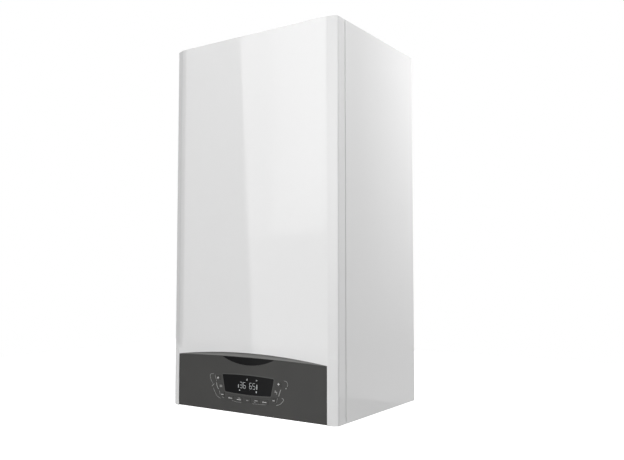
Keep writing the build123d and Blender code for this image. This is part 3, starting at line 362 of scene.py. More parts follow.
# %% Group: drawn streaks, long in one direction
streak_group, start, end = group_of(
    "streaks", {"Scale": 300.0, "Along X": 1.0, "Along Y": 1.0, "Along Z": 1.0}, ["Height", "Tone"]
)
stretch = node_in(streak_group, "CombineXYZ", {axis: start[f"Along {axis}"] for axis in "XYZ"}).outputs[0]
place = node_in(
    streak_group, "VectorMath", {0: object_place(streak_group), 1: stretch}, operation="MULTIPLY"
).outputs[0]
feed(streak_group, end, {
    "Height": noise_node(streak_group, place, start["Scale"], 4.0),
    "Tone": noise_node(streak_group, place, math_node(streak_group, "MULTIPLY", start["Scale"], 0.2), 2.0),
})

# %% Group: zinc crystals, flat cells of slightly different tone
crystal_group, start, end = group_of("crystals", {"Scale": 120.0}, ["Tone", "Height"])
place = object_place(crystal_group)
cells = node_in(crystal_group, "TexVoronoi", {"Vector": place, "Scale": start["Scale"]})
grey = node_in(crystal_group, "SeparateColor", {0: cells.outputs["Color"]})
feed(crystal_group, end, {"Tone": grey.outputs[0], "Height": noise_node(crystal_group, place, 700.0, 2.0)})

# %% Group: wear and dust, bright rubbed edges and a veil on faces that look up
wear_group, start, end = group_of("wear", {"Edge": 1.0, "Dust": 1.0}, ["Edge Mask", "Dust Mask"])
shape = node_in(wear_group, "NewGeometry").outputs
patches = noise_node(wear_group, object_place(wear_group), 60.0, 4.0)
up = node_in(wear_group, "SeparateXYZ", {0: shape["Normal"]}).outputs["Z"]
for label, source, low, high in (("Edge", shape["Pointiness"], 0.53, 0.62), ("Dust", up, 0.35, 1.0)):
    mask = math_node(wear_group, "MULTIPLY", ranged(wear_group, source, low, high), patches)
    feed(wear_group, end, {f"{label} Mask": math_node(wear_group, "MULTIPLY", mask, start[label])})

# %% [markdown]
# A finish is a Principled shader whose colour, roughness and bump are fed by those groups. One
# builder takes the numbers that differ, so that each finish below reads as a short recipe: what
# colour it is, how it shines, which texture it has and how deep that texture is.

# %% Finish builder
DUST_COLOR = (0.62, 0.60, 0.56)
BUMP_DEPTH = 0.0004


def mix_colors(tree, factor, first, second):
    """Mix two colours by a mask; each is a socket or an RGB tuple."""
    node = node_in(tree, "Mix", data_type="RGBA")
    tree.links.new(factor, node.inputs["Factor"])
    for name, value in (("A", first), ("B", second)):
        socket = next(s for s in node.inputs if s.name == name and s.type == "RGBA")
        if isinstance(value, tuple):
            socket.default_value = (*value, 1.0)
        else:
            tree.links.new(value, socket)
    return next(s for s in node.outputs if s.type == "RGBA")


def finish_of(name, color, second, roughness, spread=0.08, metallic=0.0, texture=skin_group, settings=None,
              bump=0.1, coat=0.0, edge=0.0, edge_color=(0.8, 0.8, 0.8), dust=0.15, level=0.5, sheen=0.0):
    """A finish: two tones mixed by the texture, roughness that varies, bump, worn edges and dust."""
    material, tree, shader = new_paint(name)
    pattern = node_in(tree, "Group", settings, node_tree=texture).outputs
    wear = node_in(tree, "Group", {"Edge": edge, "Dust": dust}, node_tree=wear_group).outputs
    base = mix_colors(tree, pattern["Tone"], color, second)
    worn = mix_colors(tree, wear["Edge Mask"], base, edge_color)
    rough = (roughness - spread / 2, roughness + spread / 2)
    relief = {"Strength": bump, "Distance": BUMP_DEPTH, "Height": pattern["Height"]}
    feed(tree, shader, {
        "Base Color": mix_colors(tree, wear["Dust Mask"], worn, DUST_COLOR),
        "Roughness": ranged(tree, pattern["Tone"], 0.0, 1.0, *rough),
        "Normal": node_in(tree, "Bump", relief).outputs["Normal"],
        "Metallic": metallic, "Coat Weight": coat, "Coat Roughness": 0.08,
        "Specular IOR Level": level, "Sheen Weight": sheen,
    })
    return material


print("finish builder ready")

# %% [markdown]
# The case is sprayed with a warm-free white enamel. Under its clear top layer the colour coat is
# rough, but the layer itself is smooth and bends light more than a varnish, so it keeps the edge of
# the left lamp and the soft tones of the cards. The panel is a satin grey moulding with a fine
# spark-eroded grain, and the window and the piece under the arch are polished black.

# %% Finishes of the outside
finishes = {
    "case_paint": finish_of(
        "white_enamel", (0.80, 0.80, 0.80), (0.785, 0.785, 0.786), 0.4, 0.04, coat=1.0, level=0.3,
        settings={"Scale": 1400.0, "Mottle": 3.0}, bump=0.02, dust=0.03),
    "panel_grey": finish_of(
        "satin_grey_moulding", (0.050, 0.049, 0.0465), (0.033, 0.033, 0.032), 0.46, 0.06, level=0.35,
        settings={"Scale": 3800.0, "Mottle": 9.0}, bump=0.16, dust=0.05),
    "gloss_black": finish_of(
        "polished_black", (0.0105, 0.0105, 0.011), (0.0085, 0.0085, 0.009), 0.12, 0.03, level=0.07,
        settings={"Scale": 500.0, "Mottle": 12.0}, bump=0.01, dust=0.02),
}
enamel = finishes["case_paint"].node_tree
feed(enamel, enamel.nodes["Principled BSDF"], {"Coat IOR": 1.65, "Coat Roughness": 0.035})
print("outside finishes:", len(finishes))

# %% [markdown]
# Behind the front, each maker's part keeps its own skin: zinc on the folded plates, bare cast
# aluminium on the burner door, drawn copper and yellow painted steel for the pipes, turned brass
# for the fittings, red primer on the pressure vessel. Small changes of tone stop them from looking
# like one spray can.

# %% Finishes of the works
DRAWN = {"Along X": 1.0, "Along Y": 1.0, "Along Z": 0.05}
finishes |= {
    "plated_steel": finish_of(
        "zinc_sheet", (0.44, 0.45, 0.46), (0.54, 0.55, 0.56), 0.44, 0.16, 1.0, crystal_group, {"Scale": 130.0},
        0.05, edge=0.5, dust=0.25),
    "fastener_steel": finish_of(
        "zinc_fastener", (0.42, 0.42, 0.40), (0.52, 0.52, 0.50), 0.36, 0.1, 1.0, streak_group, {"Scale": 900.0},
        0.2, edge=0.6, dust=0.1),
    "display_unit": finish_of("display_unit", (0.10, 0.105, 0.11), (0.13, 0.135, 0.14), 0.5, bump=0.1),
    "circuit_board": finish_of(
        "lacquered_board", (0.012, 0.10, 0.045), (0.02, 0.15, 0.07), 0.3, coat=0.5,
        settings={"Scale": 1200.0, "Mottle": 160.0}),
    "box_plastic": finish_of(
        "box_moulding", (0.135, 0.145, 0.155), (0.115, 0.125, 0.135), 0.5, bump=0.14,
        settings={"Scale": 2500.0, "Mottle": 20.0}),
    "vessel_paint": finish_of(
        "red_primer", (0.42, 0.035, 0.028), (0.36, 0.028, 0.022), 0.45, bump=0.12, edge=0.3,
        edge_color=(0.5, 0.2, 0.15), dust=0.3),
    "cast_aluminium": finish_of(
        "cast_aluminium", (0.30, 0.305, 0.31), (0.38, 0.385, 0.39), 0.56, 0.14, 1.0, bump=0.6,
        settings={"Scale": 1100.0, "Mottle": 40.0}, edge=0.5, edge_color=(0.5, 0.5, 0.5)),
    "steel": finish_of(
        "drawn_steel", (0.42, 0.42, 0.43), (0.52, 0.52, 0.53), 0.36, 0.14, 1.0, streak_group,
        {"Scale": 500.0, **DRAWN}, 0.12, edge=0.4),
    "ceramic_fibre": finish_of(
        "ceramic_fibre", (0.80, 0.78, 0.73), (0.72, 0.70, 0.65), 0.95, bump=1.0, sheen=0.4,
        settings={"Scale": 1500.0, "Mottle": 90.0}),
    "ceramic": finish_of(
        "glazed_ceramic", (0.84, 0.83, 0.80), (0.80, 0.79, 0.76), 0.2, coat=0.4, bump=0.03),
    "black_plastic": finish_of(
        "black_moulding", (0.024, 0.024, 0.026), (0.034, 0.034, 0.036), 0.48, bump=0.14,
        settings={"Scale": 2600.0, "Mottle": 30.0}, dust=0.3),
    "grey_plastic": finish_of(
        "glass_filled_moulding", (0.20, 0.205, 0.21), (0.16, 0.165, 0.17), 0.52, bump=0.16,
        settings={"Scale": 2000.0, "Mottle": 45.0}),
    "white_plastic": finish_of("white_moulding", (0.78, 0.785, 0.78), (0.73, 0.735, 0.73), 0.42, bump=0.06),
    "red_plastic": finish_of("red_moulding", (0.52, 0.02, 0.014), (0.45, 0.016, 0.012), 0.36, bump=0.06),
    "brass": finish_of(
        "turned_brass", (0.72, 0.52, 0.22), (0.62, 0.44, 0.18), 0.26, 0.12, 1.0, streak_group,
        {"Scale": 700.0, **DRAWN}, 0.12, edge=0.5, edge_color=(0.9, 0.72, 0.4)),
    "copper": finish_of(
        "drawn_copper", (0.80, 0.42, 0.26), (0.62, 0.30, 0.18), 0.28, 0.16, 1.0, streak_group,
        {"Scale": 260.0, **DRAWN}, 0.06, edge=0.3, edge_color=(0.95, 0.62, 0.45)),
    "yellow_pipe": finish_of(
        "yellow_pipe_paint", (0.62, 0.40, 0.03), (0.56, 0.35, 0.025), 0.36, bump=0.08, edge=0.2),
    "pump_paint": finish_of(
        "dipped_black_paint", (0.045, 0.05, 0.055), (0.06, 0.065, 0.07), 0.34, bump=0.12, edge=0.3,
        edge_color=(0.3, 0.3, 0.31)),
    "hose_rubber": finish_of(
        "smooth_rubber", (0.028, 0.028, 0.028), (0.045, 0.045, 0.044), 0.62, bump=0.2, dust=0.35),
}
print("finishes:", len(finishes))

# %% [markdown]
# The record gives each CAD node a material slot. Each node whose shape is already right keeps its
# mesh and only takes the finish of its slot, so nothing can drift from the frame.

# %% Give every CAD node its finish
slot_of = {entry["node"]: entry["material_slot"] for entry in frame["record"]["subparts"]}
for name, node in frame["nodes"].items():
    node.data.materials.clear()
    node.data.materials.append(finishes[slot_of[name]])
print("nodes with a finish:", len(slot_of))

# %% [markdown]
# Print on a panel is a layer of ink a few hundredths of a millimetre thick. Here each mark is a
# flat outline in the panel's own coordinates, x across from the middle and h up from the case's
# underside, in millimetres. It is drawn out to a thin solid that stands just clear of the surface.

# %% Flat marks on the panel
INK, LIFT = 0.05, 0.02
SHARP_ANGLE = radians(38)


def turns(count):
    """Equal steps round a circle."""
    return [2 * pi * i / count for i in range(count)]


def even_polygon(radius, sides, turn=0.0):
    """Corners of a regular polygon."""
    return [(radius * cos(turn + a), radius * sin(turn + a)) for a in turns(sides)]


def pairs_round(items):
    """Each item of a closed run with the one after it."""
    items = list(items)
    return list(zip(items, items[1:] + items[:1]))


def at(x, y, outlines):
    """Move outlines to a place."""
    return [[(px + x, py + y) for px, py in outline] for outline in outlines]


def rounded(points, times=2):
    """Round a run of corners by cutting each one again and again; the ends stay."""
    for _ in range(times):
        cut = [points[0]]
        for (x0, y0), (x1, y1) in zip(points, points[1:]):
            cut += [(near * x0 + (1 - near) * x1, near * y0 + (1 - near) * y1) for near in (0.75, 0.25)]
        points = cut + [points[-1]]
    return points


def ribbon(points, width):
    """Outline of a line of one width through points, mitred where it turns."""
    left, right = [], []
    for i, (x, y) in enumerate(points):
        (xa, ya), (xb, yb) = points[max(i - 1, 0)], points[min(i + 1, len(points) - 1)]
        length = hypot(xb - xa, yb - ya)
        across = (-(yb - ya) / length * width / 2, (xb - xa) / length * width / 2)
        left.append((x + across[0], y + across[1]))
        right.append((x - across[0], y - across[1]))
    return left + right[::-1]


def dot(x, y, radius):
    """Outline of a round mark."""
    return at(x, y, [even_polygon(radius, 20)])[0]


def bar(x, y, width, height):
    """Outline of an upright bar about its centre."""
    w, h = width / 2, height / 2
    return [(x - w, y - h), (x + w, y - h), (x + w, y + h), (x - w, y + h)]


def skin_rings(bm, rings, closed=False):
    """Faces between rings of vertices; a ring of one vertex is a tip."""
    for low, high in pairs_round(rings) if closed else zip(rings, rings[1:]):
        count = max(len(low), len(high))
        for i in range(count):
            j = (i + 1) % count
            if len(low) == 1:
                bm.faces.new((low[0], high[j], high[i]))
            elif len(high) == 1:
                bm.faces.new((low[i], low[j], high[0]))
            else:
                bm.faces.new((low[i], low[j], high[j], high[i]))


def new_piece(name, bm, material, body, smooth=False):
    """Turn a bmesh into a piece that wears a finish and rides on a body."""
    bmesh.ops.recalc_face_normals(bm, faces=bm.faces)
    mesh = bpy.data.meshes.new(name)
    bm.to_mesh(mesh)
    bm.free()
    mesh.materials.append(material)
    if smooth:
        mesh.shade_smooth()
        mesh.set_sharp_from_angle(angle=SHARP_ANGLE)
    piece = bpy.data.objects.new(name, mesh)
    scene.collection.objects.link(piece)
    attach(piece, body)
    return piece


def marks(name, outlines, face_y, material, body=panel_body):
    """One piece made of flat outlines (x, h) in mm, standing just proud of the plane y = face_y."""
    bm = bmesh.new()
    for outline in outlines:
        back = [bm.verts.new((x * MM, face_y - LIFT * MM, case_foot + h * MM)) for x, h in outline]
        front = [bm.verts.new((v.co.x, v.co.y - INK * MM, v.co.z)) for v in back]
        bm.faces.new(back)
        bm.faces.new(front[::-1])
        for (near, beside), (far, beyond) in zip(pairs_round(back), pairs_round(front)):
            bm.faces.new((near, far, beyond, beside))
    print(name, len(outlines), "outlines")
    return new_piece(name, bm, material, body)


# %% Guide lines
pale_ink = finish_of("pale_ink", (0.42, 0.42, 0.41), (0.38, 0.38, 0.37), 0.5, bump=0.02, dust=0.0)
white_ink = finish_of("white_ink", (0.74, 0.74, 0.73), (0.70, 0.70, 0.69), 0.5, bump=0.02, dust=0.0)
# each line: its width, how often its corners are cut, and its points
curved_lines = [
    (0.55, 2, [(-86.5, 71.5), (-93.5, 71), (-96.5, 67), (-93.5, 59), (-89, 52.5)]),
    (0.8, 0, [(-91, 46.8), (-84.8, 52)]),
    (0.55, 2, [(-87.4, 43.4), (-81.7, 34.8), (-76.5, 27.6), (-68.3, 25.2)]),
    (0.55, 0, [(-82.6, 69.4), (-80.8, 63), (-78.6, 58)]),
    (1.1, 1, [(-79, 55), (-77.8, 49), (-74.6, 43.5), (-73, 42.5)]),
    (0.55, 2, [(-71.5, 39.7), (-69, 32.6), (-64.5, 28.4), (-59.4, 26.8)]),
    (0.55, 2, [(86.5, 71.8), (92.5, 71.2), (95.5, 67), (94.5, 61.5)]),
    (1.1, 0, [(79.2, 54.8), (76.6, 48), (74.4, 42)]),
    (0.7, 2, [(81.8, 39.5), (87.5, 37.7), (82.5, 31.5), (77, 27), (69.1, 24.9)]),
    (0.4, 0, [(71.8, 38.9), (70.6, 34), (68.6, 29.7)]),
    (0.4, 2, [(-40, 24.4), (-34, 22.6), (-24, 22), (-15, 22.2)]),
    (0.4, 2, [(12, 22.6), (24, 22.4), (36, 22.9), (47, 24.2)]),
]
guide_lines = [ribbon(rounded(points, times), width) for width, times, points in curved_lines]
marks("guide_lines", guide_lines + [dot(91.3, 58.1, 1.1)], front_y, pale_ink)

# %% [markdown]
# Each key carries its own symbol, and the symbol has to travel with the key, so it is a piece of
# its own that rides on the key's body. The key tops stand a little proud, so the ink sits there.

# %% Key symbols
plus_sign = [bar(0, 0, 4.6, 1.2), bar(0, 0, 1.2, 4.6)]
minus_sign = [bar(0, 0, 5.0, 1.3)]
label_dash = [bar(-3.6, 0.2, 1.9, 2.4), bar(1.4, 0, 5.4, 0.9)]
key_symbols = {
    "heating_plus_key": plus_sign,
    "water_plus_key": plus_sign,
    "heating_minus_key": minus_sign,
    "water_minus_key": minus_sign,
    "menu_key": label_dash,
    "timer_key": [bar(0, -1.2, 10.0, 0.9), bar(1.4, 1.9, 5.6, 0.4)],
    "reset_key": [bar(0, -0.6, 5.6, 0.4)],
    "boost_key": [bar(0.6, 0.8, 7.4, 0.8), bar(-3.0, -2.0, 3.6, 0.4)],
    "power_key": label_dash,
}
for name, outlines in key_symbols.items():
    low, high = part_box(name)
    middle_x = (low.x + high.x) / 2 / MM
    middle_h = ((low.z + high.z) / 2 - case_foot) / MM
    marks(f"{name}_symbol", at(middle_x, middle_h, outlines), low.y, white_ink, body=name)

# %% [markdown]
# Beside the plus and minus keys stand two still symbols, a radiator for the heating and a tap for
# the hot water. They are the plain signs used on every heater.

# %% Radiator and tap symbols
radiator_sign = [bar(x, 0, 0.9, 4.4) for x in (-2.4, -0.8, 0.8, 2.4)]
radiator_sign += [bar(0, 1.7, 6.6, 0.5), bar(0, -1.7, 6.6, 0.5)]
tap_sign = [
    bar(-1.2, 0.2, 4.4, 1.3), bar(-1.6, 1.7, 0.8, 2.0), bar(-1.6, 2.6, 3.4, 0.7),
    bar(1.5, -0.6, 1.3, 2.4), dot(1.5, -2.9, 0.7),
]
marks("radiator_sign", at(-67.3, 49, radiator_sign), front_y, pale_ink)
marks("tap_sign", at(68.5, 49, tap_sign), front_y, pale_ink)

# %% [markdown]
# The window shows two temperatures in seven-segment figures, with a level bar beside each and four
# small signs. Lit segments are thin solids on the glass with a soft glow of their own.

# %% Lit display
lit = finish_of("lit_segment", (0.50, 0.515, 0.52), (0.47, 0.485, 0.49), 0.5, bump=0.0, dust=0.0)
glow = {"Emission Color": (0.86, 0.9, 0.92, 1.0), "Emission Strength": 0.12}
feed(lit.node_tree, lit.node_tree.nodes["Principled BSDF"], glow)

SEGMENTS = {"3": "abcdg", "5": "acdfg", "6": "acdefg"}
digit_wide, digit_tall, stroke, segment_gap = 6.2, 11.6, 0.72, 0.25


def segment_outline(length, lying):
    """Outline of a segment about its start: a bar with pointed ends, lying or standing."""
    half = stroke / 2
    if lying:
        return [(0, 0), (half, -half), (length - half, -half), (length, 0), (length - half, half), (half, half)]
    return [(0, 0), (half, half), (half, length - half), (0, length), (-half, length - half), (-half, half)]


def figure(character, x, foot):
    """Seven-segment figure whose lower left corner is at (x, foot)."""
    inset = stroke / 2
    flat = {"a": digit_tall - inset, "g": digit_tall / 2, "d": inset}
    right = digit_wide - inset
    columns = {"f": (inset, 0.5), "b": (right, 0.5), "e": (inset, 0.0), "c": (right, 0.0)}
    travel = digit_tall - stroke
    outlines = []
    for segment in SEGMENTS[character]:
        if segment in flat:
            shape = segment_outline(digit_wide - stroke - 2 * segment_gap, lying=True)
            outlines += at(x + inset + segment_gap, foot + flat[segment], [shape])
        else:
            column, share = columns[segment]
            shape = segment_outline(travel / 2 - 2 * segment_gap, lying=False)
            outlines += at(x + column, foot + share * travel + inset + segment_gap, [shape])
    return outlines


flame = [
    (0, 2.1), (0.9, 0.8), (1.3, -0.3), (1.0, -1.4), (0, -1.9), (-1.0, -1.4), (-1.3, -0.3), (-0.6, 0.3),
    (-0.4, 1.1),
]
house = [(-1.4, -1.1), (1.4, -1.1), (1.4, 0.3), (0, 1.5), (-1.4, 0.3)]
display = []
for character, x in (("3", -19.2), ("6", -11.0), ("6", 4.4), ("5", 12.5)):
    display += figure(character, x, 49.6)
display += [bar(-22.6, 53.2, 1.2, 6.2), bar(22.8, 54.4, 1.7, 9.2)]
display += at(-1.5, 66.8, [flame])
display += at(22.0, 66.8, [bar(x, 0, 0.5, 2.6) for x in (-1.1, 0, 1.1)])
display += at(-19.6, 45.2, [house])
display += at(21.5, 45.2, [dot(0, 0, 1.5), bar(0, -2.1, 1.6, 0.5)])
marks("lit_display", display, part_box("display_window")[0].y, lit)

# %% [markdown]
# Under the crown of the arch runs a bevel that catches the light, and round the window stands a fine
# lip. On the real panel both come out of the tool with a smoother skin than the grained front. The
# bevel's grey is far lighter than the panel's: that is a painted highlight for the light it catches
# from above. Here each is a hair-thin skin over the surface of the CAD panel, and its outline is read
# from that surface, so that it can't miss it.

# %% Bevel under the arch, painted lighter as a highlight
FINE_SKIN = {"Scale": 3000.0, "Mottle": 14.0}
# painted highlight: the bevel gets a grey far lighter than the panel's, for the light it catches from above
painted_highlight_grey = finish_of(
    "bevel_painted_highlight", (0.225, 0.225, 0.22), (0.185, 0.185, 0.18), 0.40, 0.06, level=0.4,
    settings=FINE_SKIN, bump=0.05, dust=0.05)


def skin_over(name, node, wanted, thickness, material):
    """A thin solid over those faces of a CAD node that wanted picks by their normal."""
    source = frame["nodes"][node].data
    bm = bmesh.new()
    outer, inner, edges = {}, {}, []
    for face in source.polygons:
        if not wanted(face.normal):
            continue
        for index in face.vertices:
            if index not in outer:
                corner = source.vertices[index].co
                inner[index] = bm.verts.new(corner + face.normal * LIFT * MM)
                outer[index] = bm.verts.new(corner + face.normal * (LIFT + thickness) * MM)
        bm.faces.new([outer[i] for i in face.vertices])
        bm.faces.new([inner[i] for i in reversed(face.vertices)])
        edges += pairs_round(face.vertices)
    for i, j in edges:
        if (j, i) not in edges:
            bm.faces.new((outer[j], outer[i], inner[i], inner[j]))
    print(name, len(bm.faces), "faces")
    return new_piece(name, bm, material, panel_body)


# the faces that look up and forward wear the lighter grey, a painted highlight
skin_over("arch_bevel_painted_highlight", "control_fascia", lambda n: n.z > 0.4 and n.y < -0.7, 0.08, painted_highlight_grey)

# %% [markdown]
# The lip needs the window's outline. It is what is left of the edges of the window's front face when
# all that two facets share are taken away. Pushed out by a growing distance, that outline gives the
# rings of the lip's section.

# %% Lip round the window
def front_outline(node):
    """Outline of a node's front face as (x, h) in mm, read from its mesh."""
    source = frame["nodes"][node].data
    points = [tuple(round(c, 6) for c in v.co) for v in source.vertices]
    front = min(v.co.y for v in source.vertices)
    edges = set()
    for face in source.polygons:
        if face.normal.y < -0.99 and all(abs(source.vertices[i].co.y - front) < 1e-5 for i in face.vertices):
            edges.update(pairs_round(points[i] for i in face.vertices))
    rim = {a: b for a, b in edges if (b, a) not in edges}
    first = next(iter(rim))
    loop, corner = [first], rim[first]
    while corner != first:
        loop.append(corner)
        corner = rim[corner]
    return [(x / MM, (z - case_foot) / MM) for x, y, z in loop]


def pushed_out(points, distance):
    """Move an outline outwards by one distance, along the mean normal of each corner."""
    area = sum(x0 * y1 - x1 * y0 for (x0, y0), (x1, y1) in pairs_round(points))
    side = 1 if area > 0 else -1
    moved = []
    for i, (x, y) in enumerate(points):
        (xa, ya), (xb, yb) = points[i - 1], points[(i + 1) % len(points)]
        first = Vector((y - ya, xa - x)).normalized()
        second = Vector((yb - y, x - xb)).normalized()
        middle = (first + second).normalized()
        reach = distance / max(middle.dot(first), 0.5)
        moved.append((x + side * middle.x * reach, y + side * middle.y * reach))
    return moved


window_outline = front_outline("display_window")
# the lip's section: how far out of the window's edge, and how far proud of the panel
lip_section = [(0.35, LIFT), (0.35, 0.12), (0.8, 0.2), (1.6, 0.2), (2.1, LIFT)]
bm = bmesh.new()
rings = []
for distance, proud in lip_section:
    ring = pushed_out(window_outline, distance)
    rings.append([bm.verts.new((x * MM, front_y - proud * MM, case_foot + h * MM)) for x, h in ring])
skin_rings(bm, rings, closed=True)
lip_grey = finish_of(
    "lip_grey_moulding", (0.066, 0.066, 0.063), (0.056, 0.056, 0.054), 0.42, 0.06, level=0.35,
    settings=FINE_SKIN, bump=0.05, dust=0.05)
new_piece("window_lip", bm, lip_grey, panel_body, smooth=True)
print("window outline:", len(window_outline), "corners")

# %% [markdown]
# Most parts of a boiler are turned, drawn or pressed, so three small builders make nearly all the
# detail. A lathe spins a profile about an axis, a stack joins outlines laid one above the other, and
# a pipe carries a circle along straight runs and bends. All take millimetres, and each can add to a
# shared mesh, so that a fitting of several shapes stays one piece.

# %% Lathe
AXES = {
    "up": (Vector((1, 0, 0)), Vector((0, 1, 0)), Vector((0, 0, 1))),
    "front": (Vector((1, 0, 0)), Vector((0, 0, 1)), Vector((0, -1, 0))),
    "right": (Vector((0, 1, 0)), Vector((0, 0, 1)), Vector((1, 0, 0))),
}


def spot(x, y, height):
    """A point in metres from x and y in mm and a height above the underside of the case."""
    return Vector((x * MM, y * MM, case_foot + height * MM))


def lathe(bm, place, profile, axis="up", sides=40, closed=False):
    """Spin a profile of (radius, height) about an axis through place, which is in metres."""
    across, upward, along = AXES[axis]
    rings = []
    for radius, height in profile:
        centre = Vector(place) + along * height * MM
        angles = turns(sides) if radius else [0.0]
        rings.append([bm.verts.new(centre + (across * cos(a) + upward * sin(a)) * radius * MM) for a in angles])
    skin_rings(bm, rings, closed)


# %% [markdown]
# A stack takes any outline at each height, so it makes blocks, hexagons, plates and pressed shells.
# A block's ends are drawn in over two steps, which reads as a moulded edge.

# %% Stack of outlines
def soft_rectangle(width, height, corner, steps=5):
    """A rectangle with round corners."""
    points = []
    for k, (sx, sy) in enumerate(((1, 1), (-1, 1), (-1, -1), (1, -1))):
        x, y = sx * (width / 2 - corner), sy * (height / 2 - corner)
        angles = [pi / 2 * (k + i / steps) for i in range(steps + 1)]
        points += [(x + corner * cos(a), y + corner * sin(a)) for a in angles]
    return points


def stack(bm, place, levels, axis="up", capped=True):
    """Join outlines of equal count, each a list of (x, y) with its height; flat caps close both ends."""
    across, upward, along = AXES[axis]
    rings = []
    for outline, height in levels:
        centre = Vector(place) + along * height * MM
        rings.append([bm.verts.new(centre + (across * x + upward * y) * MM) for x, y in outline])
    skin_rings(bm, rings)
    if capped:
        bm.faces.new(rings[0][::-1])
        bm.faces.new(rings[-1])


def soft_block(bm, place, width, height, depth, corner=3.0, edge=1.0, axis="up"):
    """A block with round corners and softened ends; place is the middle of its base."""
    full, near, drawn_in = (
        soft_rectangle(width - inset, height - inset, max(corner - inset / 2, 0.3))
        for inset in (0, 0.6 * edge, 2 * edge)
    )
    stack(bm, place, [
        (drawn_in, 0), (near, 0.3 * edge), (full, edge),
        (full, depth - edge), (near, depth - 0.3 * edge), (drawn_in, depth),
    ], axis)


# %% [markdown]
# A pipe's centre line is a run of corners that arcs of one radius round off. Its circle is carried
# along without twist, by turning it only as much as the line itself turns.

# %% Pipe along runs and bends
def bent_line(corners, bend, steps=8):
    """Points along straight runs whose corners are turned by arcs of one radius."""
    points = [Vector(corners[0])]
    for before, corner, after in zip(corners, corners[1:], corners[2:]):
        corner = Vector(corner)
        inward, outward = (corner - Vector(before)).normalized(), (Vector(after) - corner).normalized()
        angle = inward.angle(outward)
        start = corner - inward * bend * tan(angle / 2)
        normal = inward.cross(outward).normalized()
        middle = start + normal.cross(inward) * bend
        for i in range(steps + 1):
            points.append(middle + Matrix.Rotation(angle * i / steps, 4, normal) @ (start - middle))
    return points + [Vector(corners[-1])]


def pipe(bm, points, radius, sides=24):
    """A round pipe along points in mm, closed at both ends."""
    across = (points[1] - points[0]).normalized().orthogonal().normalized()
    rings = []
    for i, point in enumerate(points):
        ahead = (points[min(i + 1, len(points) - 1)] - points[max(i - 1, 0)]).normalized()
        across = (across - ahead * across.dot(ahead)).normalized()
        upward = ahead.cross(across)
        rings.append([
            bm.verts.new((point + (across * cos(a) + upward * sin(a)) * radius) * MM) for a in turns(sides)
        ])
    skin_rings(bm, rings)
    bm.faces.new(rings[0][::-1])
    bm.faces.new(rings[-1])


# %% [markdown]
# A finished mesh is handed over in one step. It takes the slot of the CAD node it belongs to, rides
# on that node's body and, as a rule, stands for the node. A detail that no CAD node has only rides
# along: it borrows a node's slot and stays with the cabinet.

# %% Hand a mesh over
body_of_node = {node: body for body, nodes in frame["record"]["behaviour"]["bodies"].items() for node in nodes}


def made(name, bm, node, material=None, body=None, replaced=True):
    """Hand a finished mesh over: it wears the node's finish, rides on its body and may stand for it."""
    slot_name = slot_of[node]
    piece = new_piece(name, bm, material or finishes[slot_name], body or body_of_node[node], smooth=True)
    if replaced:
        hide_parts(node)
    print(name, len(piece.data.polygons), "faces")
    return piece


def added(name, bm, node, finish, body="cabinet"):
    """Hand over a detail that stands for no CAD node."""
    return made(name, bm, node, finishes[finish], body, replaced=False)


# %% [markdown]
# The front isn't flat to its very edge: over the last finger's width before each slanted strip the
# sheet rolls back, so the light falls off softly and then breaks at the fold. The CAD mesh is copied,
# cut along upright lines, and its points are drawn back along that roll. Beside the panel the roll
# fades out, because the panel stays flush with the fold.

# %% Front casing with rolled edges
strip_wide, strip_deep = 17.0, 8.0
fold_x = case_half / MM - strip_wide
roll_wide, roll_deep, roll_cuts = 15.0, 1.5, 8
roll_start = fold_x - roll_wide
panel_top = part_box("control_fascia")[1].z
fade_low, fade_high = panel_top + 1 * MM, panel_top + 12 * MM
skin_depth, bend_limit, smallest_move = 1.8, 0.02, 0.001


def drawn_back(x, z):
    """How far the rolled sheet lies behind the flat one, in mm; x in mm, z in metres."""
    across = abs(x) - roll_start
    if across <= 0:
        return 0.0
    share = min(max((z - fade_low) / (fade_high - fade_low), 0.0), 1.0)
    if across < roll_wide:
        return share * roll_deep * (across / roll_wide) ** 2
    return share * roll_deep * max(0.0, 1 - (across - roll_wide) / strip_wide)


def is_bent(face):
    """Whether a face has left its plane by more than the bend limit."""
    face.normal_update()
    middle = face.calc_center_median()
    return any(abs((v.co - middle).dot(face.normal)) > bend_limit * MM for v in face.verts)


def joined_copy(node, angle):
    """The mesh of a CAD node with its flat faces joined again."""
    bm = bmesh.new()
    bm.from_mesh(frame["nodes"][node].data)
    bmesh.ops.remove_doubles(bm, verts=bm.verts, dist=1e-6)
    bmesh.ops.dissolve_limit(bm, angle_limit=radians(angle), verts=bm.verts, edges=bm.edges)
    return bm


def even_normals(piece):
    """Let large faces lead the shading at rounded edges."""
    piece.modifiers.new("even_normals", "WEIGHTED_NORMAL").keep_sharp = True


bm = joined_copy("front_casing", 0.2)
roll_lines = [side * (roll_start + roll_wide * k / roll_cuts) * MM for side in (-1, 1) for k in range(roll_cuts)]
cut_planes = [((x, 0, 0), (1, 0, 0)) for x in roll_lines] + [((0, 0, z), (0, 0, 1)) for z in (fade_low, fade_high)]
for place, across in cut_planes:
    everything = bm.verts[:] + bm.edges[:] + bm.faces[:]
    bmesh.ops.bisect_plane(bm, geom=everything, plane_co=place, plane_no=across, dist=1e-6)
for corner in bm.verts:
    x = corner.co.x / MM
    flat_y = front_y / MM + max(abs(x) - fold_x, 0) * strip_deep / strip_wide
    back = drawn_back(x, corner.co.z)
    if back > smallest_move and abs(corner.co.y / MM - flat_y) < skin_depth:
        corner.co.y += back * MM
bmesh.ops.triangulate(bm, faces=[face for face in bm.faces if is_bent(face)])
casing = made("front_casing_rolled", bm, "front_casing")
casing.data.set_sharp_from_angle(angle=radians(22))
even_normals(casing)

# %% [markdown]
# Under the case hang the five connections. Each is a turned tail with a rolled thread for a flat
# faced union nut, and above it a hexagon that a fitter holds against. The thread is cut as rings a
# pitch apart, which reads the same as a helix at this size, and the bore stays open.

